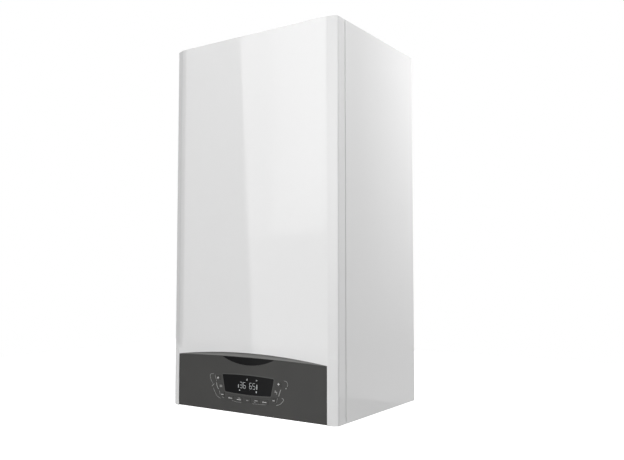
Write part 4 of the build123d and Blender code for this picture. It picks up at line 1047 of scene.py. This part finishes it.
# %% Threaded connection tails
tail_low, tail_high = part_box("connection_tails")
tail_tall = (tail_high.z - tail_low.z) / MM
thread_pitch, thread_deep, threaded = 1.8, 1.1, 30.0
water_radius, wide_radius, hexagon_tall = 10.5, 13.2, 18
bm = bmesh.new()
for mount in frame["record"]["mounts"]:
    if not mount["name"].endswith("_tail"):
        continue
    x, y = mount["pos_m"][:2]
    radius = water_radius if "water" in mount["name"] else wide_radius
    core, bore = radius - thread_deep, radius - 3.6
    profile = [(0, tail_tall - 2), (bore, tail_tall - 2), (bore, 0.8), (radius - 3.0, 0), (core, 0)]
    for k in range(int(threaded / thread_pitch)):
        z = 0.4 + k * thread_pitch
        profile += [(core, z), (radius - 0.1, z + 0.75), (radius - 0.1, z + 1.0)]
    profile += [
        (core - 0.2, threaded + 1), (core - 0.2, threaded + 4), (radius, threaded + 5),
        (radius, tail_tall - hexagon_tall), (radius + 1.5, tail_tall - hexagon_tall),
    ]
    lathe(bm, (x, y, tail_low.z), profile, sides=48)
    full, eased = even_polygon(radius + 4, 6), even_polygon(radius + 3.0, 6)
    stack(bm, (x, y, tail_high.z - hexagon_tall * MM), [(eased, 0), (full, 0.9), (full, 17.1), (eased, 18)])
made("threaded_tails", bm, "connection_tails")

# %% [markdown]
# The two screws that hold the casing are driven from below. A stamped hexagon head with a washer face
# and a cross recess is what every service engineer expects to find there.

# %% Casing screws
screw_low, screw_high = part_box("casing_screws")
head_reach = 3.46 * MM
shank = [(0, 2.0), (4.0, 2.0), (4.0, 2.39), (2.0, 2.4)]
shank += [(r, 2.4 + 0.5 * k) for k, r in enumerate([1.95, 1.55] * 8)] + [(0, 11.3)]
head, eased = even_polygon(3.9, 6, pi / 6), even_polygon(3.3, 6, pi / 6)
bm = bmesh.new()
for x in (screw_low.x + head_reach, screw_high.x - head_reach):
    place = (x, (screw_low.y + screw_high.y) / 2, screw_low.z)
    stack(bm, place, [(eased, 0), (head, 0.5), (head, 2.0)])
    lathe(bm, place, shank, sides=20)
    for wide, deep in ((3.6, 0.8), (0.8, 3.6)):
        mouth, end = soft_rectangle(wide, deep, 0.2, 1), soft_rectangle(wide * 0.6, deep * 0.6, 0.1, 1)
        stack(bm, place, [(mouth, -0.02), (end, 0.9)])
made("casing_screws_turned", bm, "casing_screws")


# %% [markdown]
# A stamped, cast or moulded edge is never sharp: a radius of half a millimetre or more catches a thin
# line of light. For nodes whose form is already right, the CAD mesh is copied, its flat faces are
# joined again, and its crisp edges are rounded over. That is safer than modelling them anew, because
# every hole and bore stays where the frame has it.

# %% Softened copies of CAD nodes
def softened(node, width, extra=None):
    """Stand in for a CAD node with the same shape and rounded edges; extra adds to its mesh."""
    bm = joined_copy(node, 1.5)
    crisp = [e for e in bm.edges if len(e.link_faces) == 2 and e.calc_face_angle(0.0) > radians(40)]
    bmesh.ops.bevel(bm, geom=crisp, offset=width * MM, segments=2, profile=0.5, affect="EDGES", clamp_overlap=True)
    if extra:
        extra(bm)
    even_normals(made(f"{node}_finished", bm, node))


# %% [markdown]
# Two fasteners turn up everywhere inside: a pan-head screw with a socket, and a hexagon nut, often
# with a washer. Both are seen from outside along an axis.

# %% Fasteners
def pan_head(bm, place, radius=3.6, axis="front"):
    """A pan-head screw with a socket."""
    deep = 0.62 * radius
    lathe(bm, place, [
        (0, 0), (radius, 0), (radius, 0.25 * deep), (0.86 * radius, 0.75 * deep), (0.6 * radius, deep),
        (0.44 * radius, deep), (0.40 * radius, 0.35 * deep), (0, 0.3 * deep),
    ], axis, 18)


def hex_nut(bm, place, radius, height, axis="front", washer=0.0):
    """A hexagon with eased ends; a washer of that radius lies under it."""
    base = 0.8 if washer else 0.0
    if washer:
        lathe(bm, place, [(0, 0), (washer, 0), (washer, base), (0, base)], axis, 24)
    full, eased = even_polygon(radius, 6, pi / 6), even_polygon(0.9 * radius, 6, pi / 6)
    ease = 0.1 * radius
    stack(bm, place, [(eased, base), (full, base + ease), (full, height - ease), (eased, height)], axis)


def four_corners(first, second):
    """The signed corners of a rectangle about its middle."""
    return [(a * first, b * second) for a in (-1, 1) for b in (-1, 1)]


# %% [markdown]
# On the lid stands the flue socket: a turned aluminium collar with a rolled lip, bolted through a
# square flange, and inside it the flue duct. Soft lip seals sit in both, because flue gas must not
# leak back into the case.

# %% Flue collar and duct
flue_x, flue_y, flue_foot, duct_foot = 0, -135, 745.0, 647
flue_place = spot(flue_x, flue_y, flue_foot)


def ring_plate(bm, place, outer, inner_radius, height, ease=0.5):
    """A plate with an outer outline and a round hole, with its upper edge eased."""
    hole = even_polygon(inner_radius, len(outer))
    shrunk = [(x * (1 - ease / 60), y * (1 - ease / 60)) for x, y in outer]
    levels = [(outer, 0), (outer, height - ease), (shrunk, height), (hole, height), (hole, 0)]
    stack(bm, place, levels + levels[:1], capped=False)
    bmesh.ops.remove_doubles(bm, verts=bm.verts, dist=1e-7)


def full_square(half, power, sides=72):
    """A square with soft corners, sampled evenly by angle."""
    corners = []
    for a in turns(sides):
        reach = half / (abs(cos(a)) ** power + abs(sin(a)) ** power) ** (1 / power)
        corners.append((reach * cos(a), reach * sin(a)))
    return corners


bm = bmesh.new()
ring_plate(bm, flue_place, full_square(64, 9), 47.6, 3.0)
lathe(bm, flue_place, [
    (47.5, 1), (47.5, 25), (50.0, 25), (51, 24.3), (51, 23.2), (50, 22.4), (50, 13), (50.9, 12.2), (50.9, 10.8),
    (50, 10), (50, 5), (51.5, 3.2), (51.5, 1),
], sides=72, closed=True)
for x, y in ((-51, -51), (51, -51), (-51, 51), (51, 51)):
    pan_head(bm, flue_place + Vector((x, y, 3)) * MM, 3.8, "up")
made("flue_collar_turned", bm, "flue_collar")
bm = bmesh.new()
lathe(bm, spot(flue_x, flue_y, duct_foot), [
    (28.5, 0), (28.5, 123), (30, 123), (31, 122.2), (31, 121), (30, 120.2), (30, 92), (30.9, 91), (30.9, 88),
    (30, 87), (30, 0),
], sides=56, closed=True)
made("flue_duct_beaded", bm, "flue_duct")
bm = bmesh.new()
collar_seal = [(47.45, 15), (47.45, 20), (45.4, 19.2), (42.6, 21.6), (43.2, 18), (45.6, 16)]
duct_seal = [(28.45, 14), (28.45, 19), (27, 18.4), (25, 20.2), (25.4, 17.4), (27.2, 15)]
for seal, sides in ((collar_seal, 72), (duct_seal, 56)):
    lathe(bm, flue_place, seal, sides=sides, closed=True)
added("flue_lip_seals", bm, "vessel_hose", "hose_rubber")

# %% [markdown]
# The vessel that takes up the water's expansion is two pressed steel shells, welded round a flange.
# Each shell bulges a little, and its corners are round, since a press can't draw them sharp. It is
# built as outlines laid from the back to the front, each one drawn in more where the shell curves.

# %% Expansion vessel
vessel_y, port_x = -57.5, 105
vessel_middle = spot(0, vessel_y, 455)
shell_wide, shell_tall, shell_corner = 336, 280, 52
# each level of a shell: how far it is drawn in, and how far it lies from the flange
shell = [(30, 42.0), (16, 41.0), (8, 38.0), (3, 33.0), (0.6, 27.0), (0, 20.0)]


def shell_outline(inset):
    """Outline of the shell, drawn in by a distance; a negative one gives the flange."""
    return soft_rectangle(shell_wide - 2 * inset, shell_tall - 2 * inset, max(shell_corner - inset, 8), 7)


bm = bmesh.new()
levels = [(shell_outline(inset), -depth) for inset, depth in shell]
levels += [(shell_outline(inset), depth) for inset, depth in reversed(shell)]
stack(bm, vessel_middle, levels, "front")
flange = ((-4, -4.2), (-5, -3.4), (-5, 3.4), (-4, 4.2))
stack(bm, vessel_middle, [(shell_outline(inset), height) for inset, height in flange], "front")
for height in (70, -70):
    channel = [(soft_rectangle(190 - i, 16 - i, 7.5 - i / 2, 5), 41 + i / 3) for i in (0, 1.5, 4)]
    stack(bm, vessel_middle + Vector((0, 0, height)) * MM, channel, "front")
lathe(bm, spot(port_x, vessel_y, 304), [(0, 8), (8, 8), (8, 0), (7, -1), (7, -4), (0, -4)], sides=32)
made("expansion_vessel_pressed", bm, "expansion_vessel")
bm = bmesh.new()
for height in (291, 166):
    hex_nut(bm, spot(port_x, vessel_y, height), 10.5, 9, "up")
made("hose_nuts", bm, "connection_tails", replaced=False)

# %% [markdown]
# A braided hose joins the vessel to the water circuit. The braid is two sets of wires that wind in
# opposite senses, so its relief is made from two slanting bands that cross. At both ends a ferrule is
# pressed on.

# %% Group: braid, two crossing sets of wires
braid_group, start, end = group_of("braid", {"Turn": 900.0, "Rise": 900.0}, ["Height", "Tone"])
axes = node_in(braid_group, "SeparateXYZ", {0: object_place(braid_group)}).outputs
around = math_node(braid_group, "ADD", axes["X"], axes["Y"])
around = math_node(braid_group, "MULTIPLY", around, start["Turn"])
along = math_node(braid_group, "MULTIPLY", axes["Z"], start["Rise"])
first, second = (
    math_node(braid_group, "SINE", math_node(braid_group, operation, around, along))
    for operation in ("ADD", "SUBTRACT")
)
crossed = math_node(braid_group, "MULTIPLY", first, second)
level = math_node(braid_group, "MULTIPLY_ADD", crossed, 0.5, 0.5)
feed(braid_group, end, {"Height": level, "Tone": level})
braided = finish_of(
    "braided_steel", (0.30, 0.30, 0.31), (0.72, 0.72, 0.73), 0.36, 0.1, 1.0, braid_group,
    {"Turn": 1500.0, "Rise": 1300.0}, 0.7, dust=0.1)

# %% Vessel hose
hose_tall = 127
crimps = [(7.0, 0), (7.0, 2), (6.7, 2.5), (7.0, 3), (7.0, 6), (6.7, 6.5), (7.0, 7), (7.0, 12), (6.3, 13)]
upper_crimps = [(r, hose_tall - h) for r, h in reversed(crimps)]
bm = bmesh.new()
lathe(bm, spot(port_x, vessel_y, 173), [(0, 0)] + crimps + [(6.3, 114)] + upper_crimps + [(0, hose_tall)], sides=32)
made("vessel_hose_braided", bm, "vessel_hose", braided)

# %% [markdown]
# Condensate runs off through a ribbed hose to the trap, a moulded cup with a grip ring below the
# bottom plate's level and a barbed spigot under it. The ribs are rings of the hose's own wall, which
# lets it bend without a kink.

# %% Condensate hose and trap
trap_x, trap_y = 25, -190
ribs, rib_pitch = 38, 5
hose_profile = [(0, 0), (9, 0), (9, 16), (8, 17)]
for k in range(ribs):
    foot = 18 + rib_pitch * k
    hose_profile += [(7.6, foot), (9, foot + 1.4), (9, foot + 3), (7.6, foot + 4.2)]
hose_profile += [(8, 209), (9, 210), (9, 225), (0, 225)]
bm = bmesh.new()
lathe(bm, spot(trap_x, trap_y, 200), hose_profile, sides=24)
made("condensate_hose_ribbed", bm, "condensate_hose")

trap_profile = [(0, 24), (7.0, 24), (7.0, 0), (8.4, 0)]
for k in range(3):
    trap_profile += [(10, 3 + 5 * k), (9.0, 3.8 + 5 * k)]
trap_profile += [
    (9.6, 20), (9.6, 51.6), (21, 51.6), (22.2, 53), (22.2, 72), (21, 73.5), (21, 76), (22.8, 77), (22.8, 82),
    (21.2, 83.5), (21.2, 170), (22.8, 171.5), (22.8, 184), (21.4, 186), (14, 188), (0, 188),
]
bm = bmesh.new()
lathe(bm, spot(trap_x, trap_y, 12), trap_profile, sides=48)
grip_teeth, grip_radius, tooth_deep = 24, 22.6, 0.4
teeth = [(grip_radius + tooth_deep * cos(grip_teeth * a), a) for a in turns(4 * grip_teeth)]
grip = [(r * cos(a), r * sin(a)) for r, a in teeth]
stack(bm, spot(trap_x, trap_y, 65), [(grip, 0), (grip, 18)])
made("condensate_trap_moulded", bm, "condensate_trap")

# %% [markdown]
# Gas and water run in bent pipes. A pipe bender leaves true arcs of one radius, so each pipe is a
# circle carried along straight runs and arcs, and brass union nuts close its ends. The gas pipe is
# painted yellow, as fitters expect, and the water pipes are bare copper.

# %% Gas and water pipes
bend_radius = 22
fan_x, fan_y, fan_height = -120, -246, 548
valve_y, gas_y = -245.3, -263.3
gas_tail, heat_flow, heat_return = (0, -155), (10, -131), (114, -131)
valve_inlet, gas_outlet, diverter_inlet = (fan_x, valve_y), (fan_x, gas_y), (-110, -110)


def path_points(corners):
    """Pipe corners given as x, y in mm and height above the underside, as points in mm."""
    return [Vector((x, y, h + case_foot / MM)) for x, y, h in corners]


for name, node, radius, paths in (
    ("gas_pipes_bent", "gas_pipes", 8, (
        [(*gas_tail, 70), (*gas_tail, 100), (*valve_inlet, 282), (*valve_inlet, 315)],
        [(*gas_outlet, 385), (*gas_outlet, 452), (*gas_outlet, 520)],
    )),
    ("primary_pipes_bent", "primary_pipes", 9, (
        [(*heat_flow, 425), (*heat_flow, 398), (*diverter_inlet, 235), (*diverter_inlet, 205)],
        [(*heat_return, 425), (*heat_return, 300), (*heat_return, 201)],
    )),
):
    bm = bmesh.new()
    bent, straight = map(path_points, paths)
    pipe(bm, bent_line(bent, bend_radius), radius)
    pipe(bm, straight, radius)
    made(name, bm, node)
bm = bmesh.new()
for where, height, radius, tall in (
    (gas_tail, 70, 13, 13), (valve_inlet, 300, 13, 14), (gas_outlet, 386, 13, 13), (gas_outlet, 506, 13, 13),
    (heat_flow, 411, 14, 13), (diverter_inlet, 206, 14, 14), (heat_return, 411, 14, 13), (heat_return, 202, 14, 13),
):
    hex_nut(bm, spot(*where, height), radius, tall, "up")
made("union_nuts", bm, "connection_tails", replaced=False)

# %% [markdown]
# The heart of the upper half is the burner door: a cast aluminium lid with a gooseneck that brings
# the mixture from the fan. It hangs on six studs. Ribs run out from the neck, because a flat casting
# would warp in the heat, and each rib stands on the plate that carries it.

# %% Burner door, nuts and electrodes
door_x, door_height, door_face = 62.0, 545.0, -213.0
stud_circle, studs = 106, 6
# each rib: its angle in degrees, and how far from the middle it starts and ends
door_ribs = (
    (30, 40, 98), (-20, 38, 98), (-150, 42, 98), (150, 60, 98), (90, 66, 100), (-120, 66, 98), (-60, 66, 98),
)


def on_door(radius, degrees, proud=0.0):
    """A point on the door's face at a distance from its middle and an angle."""
    a = radians(degrees)
    return spot(door_x + radius * cos(a), door_face - proud, door_height + radius * sin(a))


def stud_places(proud=0.0):
    """Where the door's studs stand."""
    return [on_door(stud_circle, 360 / studs * step, proud) for step in range(studs)]


def door_castings(bm):
    """Ribs and nut bosses on the door's face."""
    for place in stud_places():
        lathe(bm, place, [(0, -1), (9, -1), (8.4, 1.6), (0, 1.6)], "front", 24)
    for degrees, near, far in door_ribs:
        a = radians(degrees)
        levels = []
        for inset, height in ((0, -0.5), (1.6, 5.0)):
            outline = soft_rectangle(far - near - 2 * inset, 5 - inset, 1.2, 2)
            levels.append(([(x * cos(a) - y * sin(a), x * sin(a) + y * cos(a)) for x, y in outline], height))
        stack(bm, on_door((near + far) / 2, degrees), levels, "front")


softened("burner_door", 3.0, door_castings)
bm = bmesh.new()
for place in stud_places(1.6):
    hex_nut(bm, place, 5.2, 5.4, "front", washer=7.0)
    lathe(bm, place, [(0, 5), (2.6, 5), (2.6, 8.4), (2.2, 9), (0, 9)], "front", 16)
made("door_nuts", bm, "door_bolts")

electrode_height = door_height - 56


def electrode_caps(bm):
    """Ribbed insulators and screws of the electrodes."""
    for x in (-9, 9):
        ribs = [(0, 1)]
        for k in range(4):
            ribs += [(4.2, 1.6 + 3.6 * k), (5.2, 2.2 + 3.6 * k), (5.2, 3.2 + 3.6 * k), (4.2, 4.0 + 3.6 * k)]
        lathe(bm, spot(door_x + x, door_face, electrode_height), ribs + [(3.4, 17), (0, 17)], "front", 20)
    for x in (-16.5, 0, 16.5):
        pan_head(bm, spot(door_x + x, door_face - 1.5, electrode_height), 2.0)


softened("electrodes", 0.3, electrode_caps)


# %% [markdown]
# Behind the door the drum is spun from sheet, with rolled beads for stiffness, and it keeps the CAD
# shape with softened edges. The beads are rings of their own that hug the shell.

# %% Drum and its beads
def drum_beads(bm):
    """Rolled beads round the drum's shell."""
    bead = [(103.6, -4), (105.2, -2.4), (105.6, 0), (105.2, 2.4), (103.6, 4)]
    for depth in (118, 140, 162, 184):
        lathe(bm, spot(door_x, -depth, door_height), bead, "front", 72, closed=True)


softened("exchanger_drum", 0.8, drum_beads)

# %% [markdown]
# The fan blows gas and air into the door. Its housing is a cast scroll closed by screws, with a ring
# where the mixer plugs in, and its motor has cooling fins turned into the can. The bore for the shaft
# stays open, so the impeller's shaft runs free.

# %% Fan, mixer and silencer
fan_place = spot(fan_x, fan_y, fan_height)


def scroll_details(bm):
    """Screws and the intake ring on the scroll's front."""
    ring = [(17.4, -0.4), (25, -0.4), (25, 2), (23, 3), (18.4, 3), (17.4, 2)]
    lathe(bm, fan_place, ring, "front", 40, closed=True)
    for x, z in even_polygon(39, 7, 0.4):
        pan_head(bm, fan_place + Vector((x, 0, z)) * MM, 3.2)


softened("fan_housing", 1.2, scroll_details)
bm = bmesh.new()
can = [(0, -40), (3.05, -40), (3.05, 0), (33.4, 0), (34, -0.6), (34, -5)]
for k in range(7):
    foot = 6 + 5 * k
    can += [(31, -foot), (31, -foot - 1.6), (33.6, -foot - 2.2), (33.6, -foot - 4.2)]
can += [(31, -42), (30, -47), (26, -49.6), (12, -50), (0, -50)]
lathe(bm, spot(fan_x, -212, fan_height), can, "front", 48)
soft_block(bm, spot(fan_x, -189, 507), 26, 22, 21, 2, 0.8)
soft_block(bm, spot(fan_x, -189, 503.5), 20, 14, 5, 1.5, 0.6)
made("fan_motor_finned", bm, "fan_motor")
bm = bmesh.new()
lathe(bm, spot(fan_x, gas_y, 520), [
    (0, 0), (15, 0), (16.6, 1), (16.6, 7), (13, 9), (11.6, 14), (12.4, 22), (15.4, 30), (16.4, 44), (15.4, 56),
    (14, 66), (16.8, 69), (16.8, 79), (16, 80), (0, 80),
], sides=40)
socket = [(0, -1), (15, -1), (15, -12), (16.9, -13), (16.9, -17.3), (0, -17.3)]
lathe(bm, spot(fan_x, gas_y, fan_height), socket, "front", 36)
for x in (-13.2, 13.2):
    soft_block(bm, spot(x + fan_x, gas_y, 588), 9, 14, 10, 3, 0.8)
    pan_head(bm, spot(x * 1.1 + fan_x, gas_y, 598), 2.6, "up")
made("gas_mixer_cast", bm, "gas_mixer")


def clipped_outline(width, height, corner):
    """A rectangle with cut corners."""
    w, h, c = width / 2, height / 2, corner
    return [(w, c - h), (w, h - c), (w - c, h), (c - w, h), (-w, h - c), (-w, c - h), (c - w, -h), (w - c, -h)]


def silencer_ribs(bm):
    """Two belts and four upright ribs moulded on the silencer."""
    section = ((98, 0), (100, 1), (100, 3), (98, 4), (95, 4), (95, 0), (98, 0))
    belt = [(clipped_outline(w, w - 16, 13), h) for w, h in section]
    for height in (664, 716):
        stack(bm, spot(fan_x, -241.3, height), belt, capped=False)
    for x in (-30, -10, 10, 30):
        soft_block(bm, spot(x + fan_x, -281.8, 667), 3, 3, 50, 1, 0.5)
    bmesh.ops.remove_doubles(bm, verts=bm.verts, dist=1e-7)


softened("intake_silencer", 2.0, silencer_ribs)

# %% [markdown]
# The gas valve is a die-cast block with a cover, a screwed-in inlet, a coil on top and a capped
# adjuster in front. It is built from soft blocks and turned shapes that overlap into one piece.

# %% Gas valve
valve_face, cover_height, coil_x, plug_x = -267.3, 350, -102, -143
bm = bmesh.new()
soft_block(bm, spot(fan_x, -243.3, 323), 68, 48, 54, 6, 1.6)
soft_block(bm, spot(*valve_inlet, 315), 27, 27, 9, 4, 1.0)
lathe(bm, spot(*gas_outlet, 376), [(0, 0), (14, 0), (14, 8), (13, 9), (0, 9)], sides=32)
soft_block(bm, spot(plug_x, -233.3, 376), 14, 20, 15, 2, 0.8)
for height, x in four_corners(19, 27):
    boss = spot(fan_x + x, valve_face, cover_height + height)
    lathe(bm, boss, [(0, -1), (5.6, -1), (5.2, 1.2), (0, 1.2)], "front", 24)
    pan_head(bm, boss + AXES["front"][2] * 1.2 * MM, 3.2)
cover = [(soft_rectangle(wide, wide, corner, 4), h) for wide, corner, h in ((44, 9, -1), (43, 9, 1.6), (40, 8, 2.2))]
stack(bm, spot(fan_x, valve_face, cover_height), cover, "front")
made("gas_valve_body", bm, "gas_valve")
bm = bmesh.new()
adjuster = [(0, 0), (13, 0), (13, 4), (12, 5), (9, 5), (9, 9), (8, 10), (0, 10)]
coil = [(0, 0), (11, 0), (11, 2), (9.8, 2.6), (9.8, 17.4), (11, 18), (11, 20), (6, 20.6), (6, 22), (0, 22)]
lathe(bm, spot(fan_x, -269.5, cover_height), adjuster, "front", 36)
lathe(bm, spot(coil_x, -243.3, 377), coil, sides=36)
soft_block(bm, spot(coil_x, -228.5, 380), 12, 9, 13, 1.6, 0.6)
soft_block(bm, spot(plug_x, -233.3, 390), 11, 16, 4, 1.6, 0.6)
added("gas_valve_coil", bm, "fan_motor", "black_plastic")

# %% [markdown]
# The pump sits low on the right. Its scroll is a casting, and its motor is a wet rotor in a painted
# can with a terminal box in front. Four socket screws hold the can to the scroll.

# %% Pump
pump_x, pump_height = 137, 155


def on_pump(y, x=0, height=0):
    """A point on the pump's axis, or beside it, at a depth."""
    return spot(pump_x + x, y, pump_height + height)


softened("pump_body", 1.6)
bm = bmesh.new()
lathe(bm, on_pump(-150), [
    (0, 40), (3.05, 40), (3.05, 0), (38, 0), (38, 6), (36, 7.2), (35.4, 20), (35.4, 46), (36.5, 52), (37.6, 54),
    (37.6, 60), (0, 60),
], "front", 56)
for corner in four_corners(27, 27):
    lathe(bm, on_pump(-150, *corner), [(0, 1), (6.2, 1), (6.2, 8), (5.6, 9), (0, 9)], "front", 20)
    pan_head(bm, on_pump(-159, *corner), 3.6)
made("pump_motor_can", bm, "pump_motor")
bm = bmesh.new()
soft_block(bm, on_pump(-209), 73, 69, 22, 14, 2.4, "front")
soft_block(bm, on_pump(-230), 66, 62, 4, 12, 1.4, "front")
lathe(bm, on_pump(-233.6), [(0, 0), (9, 0), (9, 1.4), (7.6, 2), (7.6, 0.9), (0, 0.9)], "front", 32)
soft_block(bm, on_pump(-220, 0, -40), 26, 14, 8, 2, 0.8)
for corner in four_corners(27, 25):
    pan_head(bm, on_pump(-234, *corner), 2.6)
added("pump_terminal_box", bm, "pump_motor", "black_plastic")


# %% [markdown]
# Two moulded groups carry the water between pump, plate exchanger, diverter and tails. Glass-filled
# nylon is moulded with round edges and with thick collars where something plugs in, and it is held
# together by bright wire clips.

# %% Water groups
def collars_at(*places):
    """A function that adds thick moulded rings round upright or forward water ways."""
    def collars(bm):
        """Thick rings at the places, each with its half width and axis."""
        for x, y, height, half, axis in places:
            outline, inner = (soft_rectangle(2 * half + more, 2 * half + more, half) for more in (6, 4))
            stack(bm, spot(x, y, height), [(inner, 0), (outline, 1), (outline, 6), (inner, 7)], axis)
    return collars


tail_y = gas_tail[1]
softened("flow_group", 2.6, collars_at(
    (*diverter_inlet, 192, 17, "up"), (-130, tail_y, 72, 11, "up"), (-65, tail_y, 72, 9, "up"),
    (-110, -186, 130, 13, "front"),
))
softened("return_group", 2.6, collars_at(
    (130, tail_y, 72, 11, "up"), (65, tail_y, 72, 9, "up"), (port_x, vessel_y, 156, 8, "up"),
))
softened("plate_exchanger", 0.7)
bm = bmesh.new()
for x, y, height, half in ((*diverter_inlet, 186, 20), (-130, tail_y, 84, 14), (130, tail_y, 84, 14)):
    bends = [(x + sx * half, y + sy * half, height) for sx, sy in ((-1, 1), (-1, -1), (1, -1), (1, 1))]
    pipe(bm, bent_line(path_points(bends), half * 0.8, 6), 1.1, 8)
added("wire_clips", bm, "connection_tails", "fastener_steel")

# %% [markdown]
# Small servo parts finish the water side: the diverter's motor with its plug, the air vent with its
# cap, the relief valve with a red fluted knob, and the filling tap with a lever that a hand finds
# from below.

# %% Diverter motor and air vent
diverter_x, diverter_face, diverter_height = -110, -234, 130
softened("diverter_motor", 1.6)
bm = bmesh.new()
plug = [(0, -1), (11, -1), (11, 1.6), (9.6, 2.4), (4, 2.4), (3.2, 0.8), (0, 0.8)]
lathe(bm, spot(diverter_x, diverter_face, diverter_height), plug, "front", 32)
for x, height in four_corners(19, 13.5):
    pan_head(bm, spot(diverter_x + x, diverter_face, diverter_height + height), 2.4)
added("diverter_cap", bm, "fan_motor", "black_plastic")
bm = bmesh.new()
lathe(bm, spot(154, -131, 195), [
    (0, 0), (8, 0), (8, 3), (11, 4), (11, 28), (10.4, 30), (7, 32), (6.4, 35), (6.4, 38), (4.4, 39), (4.4, 46),
    (3.8, 47), (0, 47),
], sides=36)
made("air_vent_turned", bm, "air_vent")

# %% [markdown]
# The relief valve lets water out through a pipe below when the pressure rises too far. Its knob turns
# on a stub, so the stub is round and the knob has a bore that leaves a hair of air round it.

# %% Relief valve with its knob
relief_y, relief_height = -120, 100
bm = bmesh.new()
soft_block(bm, spot(139, relief_y, relief_height), 20, 20, 35, 4, 1.0, "right")
outlet = [(0, 20), (4.4, 20), (4.4, 0), (5.6, 0), (6, 0.8), (6, 40), (8.5, 42), (8.5, 66), (0, 66)]
lathe(bm, spot(162, relief_y, 24), outlet, sides=32)
stub = [(0, 0), (2.5, 0), (2.5, 10.6), (2.1, 11), (0, 11)]
lathe(bm, spot(173, relief_y, relief_height), stub, "right", 20)
collar = [(0, -8), (10, -8), (10, -0.6), (9.4, 0), (0, 0)]
lathe(bm, spot(174, relief_y, relief_height), collar, "right", 32)
made("relief_valve_turned", bm, "relief_valve")


def fluted(radius, depth):
    """Outline of a knob with twelve flutes."""
    rims = [(radius + depth * cos(12 * a), a) for a in turns(96)]
    return [(rim * cos(a), rim * sin(a)) for rim, a in rims]


# each level: the radius, how deep the flutes are, and the height
knob_levels = [
    (2.55, 0, 11), (2.55, 0, 0), (11.6, 0, 0), (12.4, 0, 0.8), (12.4, 0, 2.2), (11.4, 0.7, 3), (11.0, 0.8, 11),
    (10.2, 0.5, 12.5), (8.6, 0, 13),
]
levels = [(fluted(radius, depth), height) for radius, depth, height in knob_levels]
bm = bmesh.new()
stack(bm, spot(174.3, relief_y, relief_height), [([(0, 0)], 11)] + levels + [([(0, 0)], 13)], "right", capped=False)
made("relief_knob_fluted", bm, "relief_knob")

# %% [markdown]
# The filling tap joins the mains to the heating circuit. Its lever hangs on a spindle below the case
# and carries three ribs for a finger.

# %% Filling tap and lever
lever_x, spindle_y = 101, -130
softened("filling_tap", 1.4)
bm = bmesh.new()
lathe(bm, spot(lever_x, spindle_y, 39), [(0, 0), (3, 0), (3, 53), (2.6, 53.4), (0, 53.4)], sides=24)
lathe(bm, spot(lever_x, spindle_y, 41), [(0, 0), (6.4, 0), (6, 5), (0, 5)], sides=28)
soft_block(bm, spot(lever_x, -140, 36), 14, 36, 7, 6.4, 1.4)
for y in (-152, -147, -142):
    soft_block(bm, spot(lever_x, y, 35.4), 8, 1.6, 2, 0.7, 0.3)
made("filling_lever_shaped", bm, "filling_lever")

# %% [markdown]
# The spark generator is a potted box on two screws, with sockets for its leads. The bracket, the
# shelf, the bottom plate and the control box keep their CAD shapes with softened edges, so that
# folded steel shows a line of light at each bend.

# %% Spark generator, plates and control box
spark_x, spark_y = -164, -141
bm = bmesh.new()
soft_block(bm, spot(spark_x, spark_y, 431.5), 44, 38, 3, 3, 0.6)
soft_block(bm, spot(spark_x, spark_y, 433.5), 32, 34, 30, 4, 1.4)
lead_socket = [(0, 0), (5, 0), (5, 4), (4.4, 5), (3.4, 5), (3.4, 9), (2.8, 10), (0, 10)]
for x in (-8, 8):
    lathe(bm, spot(spark_x + x, spark_y, 462.5), lead_socket, sides=24)
for x in (-18.6, 18.6):
    pan_head(bm, spot(spark_x + x, spark_y, 434.5), 2.6, "up")
made("spark_generator_potted", bm, "spark_generator")
for node, width in (("wall_bracket", 0.5), ("bottom_plate", 0.4), ("exchanger_shelf", 0.4), ("control_box", 0.8)):
    softened(node, width)

# %% [markdown]
# Thin sheets are joined by pop rivets and lids by screws, and both tell how the case was put together.
# The rear frame's flanges carry a row of rivet heads on each side, and the lid is held by four
# washer-head screws. Inside the casing a pad of white insulation faces the burner.

# %% Rivets, lid screws and the casing's pad
rivet_x, rivet_y, rivet_pitch, rivets_a_side = 176, -15.5, 92, 7
rivet = [(0, 0), (3.2, 0), (3.0, 0.6), (2.0, 1.1), (1.1, 1.2), (0.9, 0.7), (0, 0.7)]
frame_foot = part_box("rear_frame")[0].z
bm = bmesh.new()
for side in (-1, 1):
    for row in range(rivets_a_side):
        place = Vector((side * rivet_x * MM, rivet_y * MM, frame_foot + (45 + rivet_pitch * row) * MM))
        lathe(bm, place, rivet, "front", 16)
added("frame_rivets", bm, "rear_frame", "fastener_steel", None)

lid_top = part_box("top_plate")[1].z
bm = bmesh.new()
for x in (-180, 180):
    for y in (-262, -24):
        pan_head(bm, Vector((x * MM, y * MM, lid_top)), 4.2, "up")
added("lid_screws", bm, "top_plate", "fastener_steel", None)

pad_face, pad_foot = -313.5, -0.25
bm = bmesh.new()
soft_block(bm, Vector((0, pad_face * MM, pad_foot)), 300, 380, 4.3, 14, 1.4, "front")
added("casing_pad", bm, "front_casing", "ceramic_fibre", None)
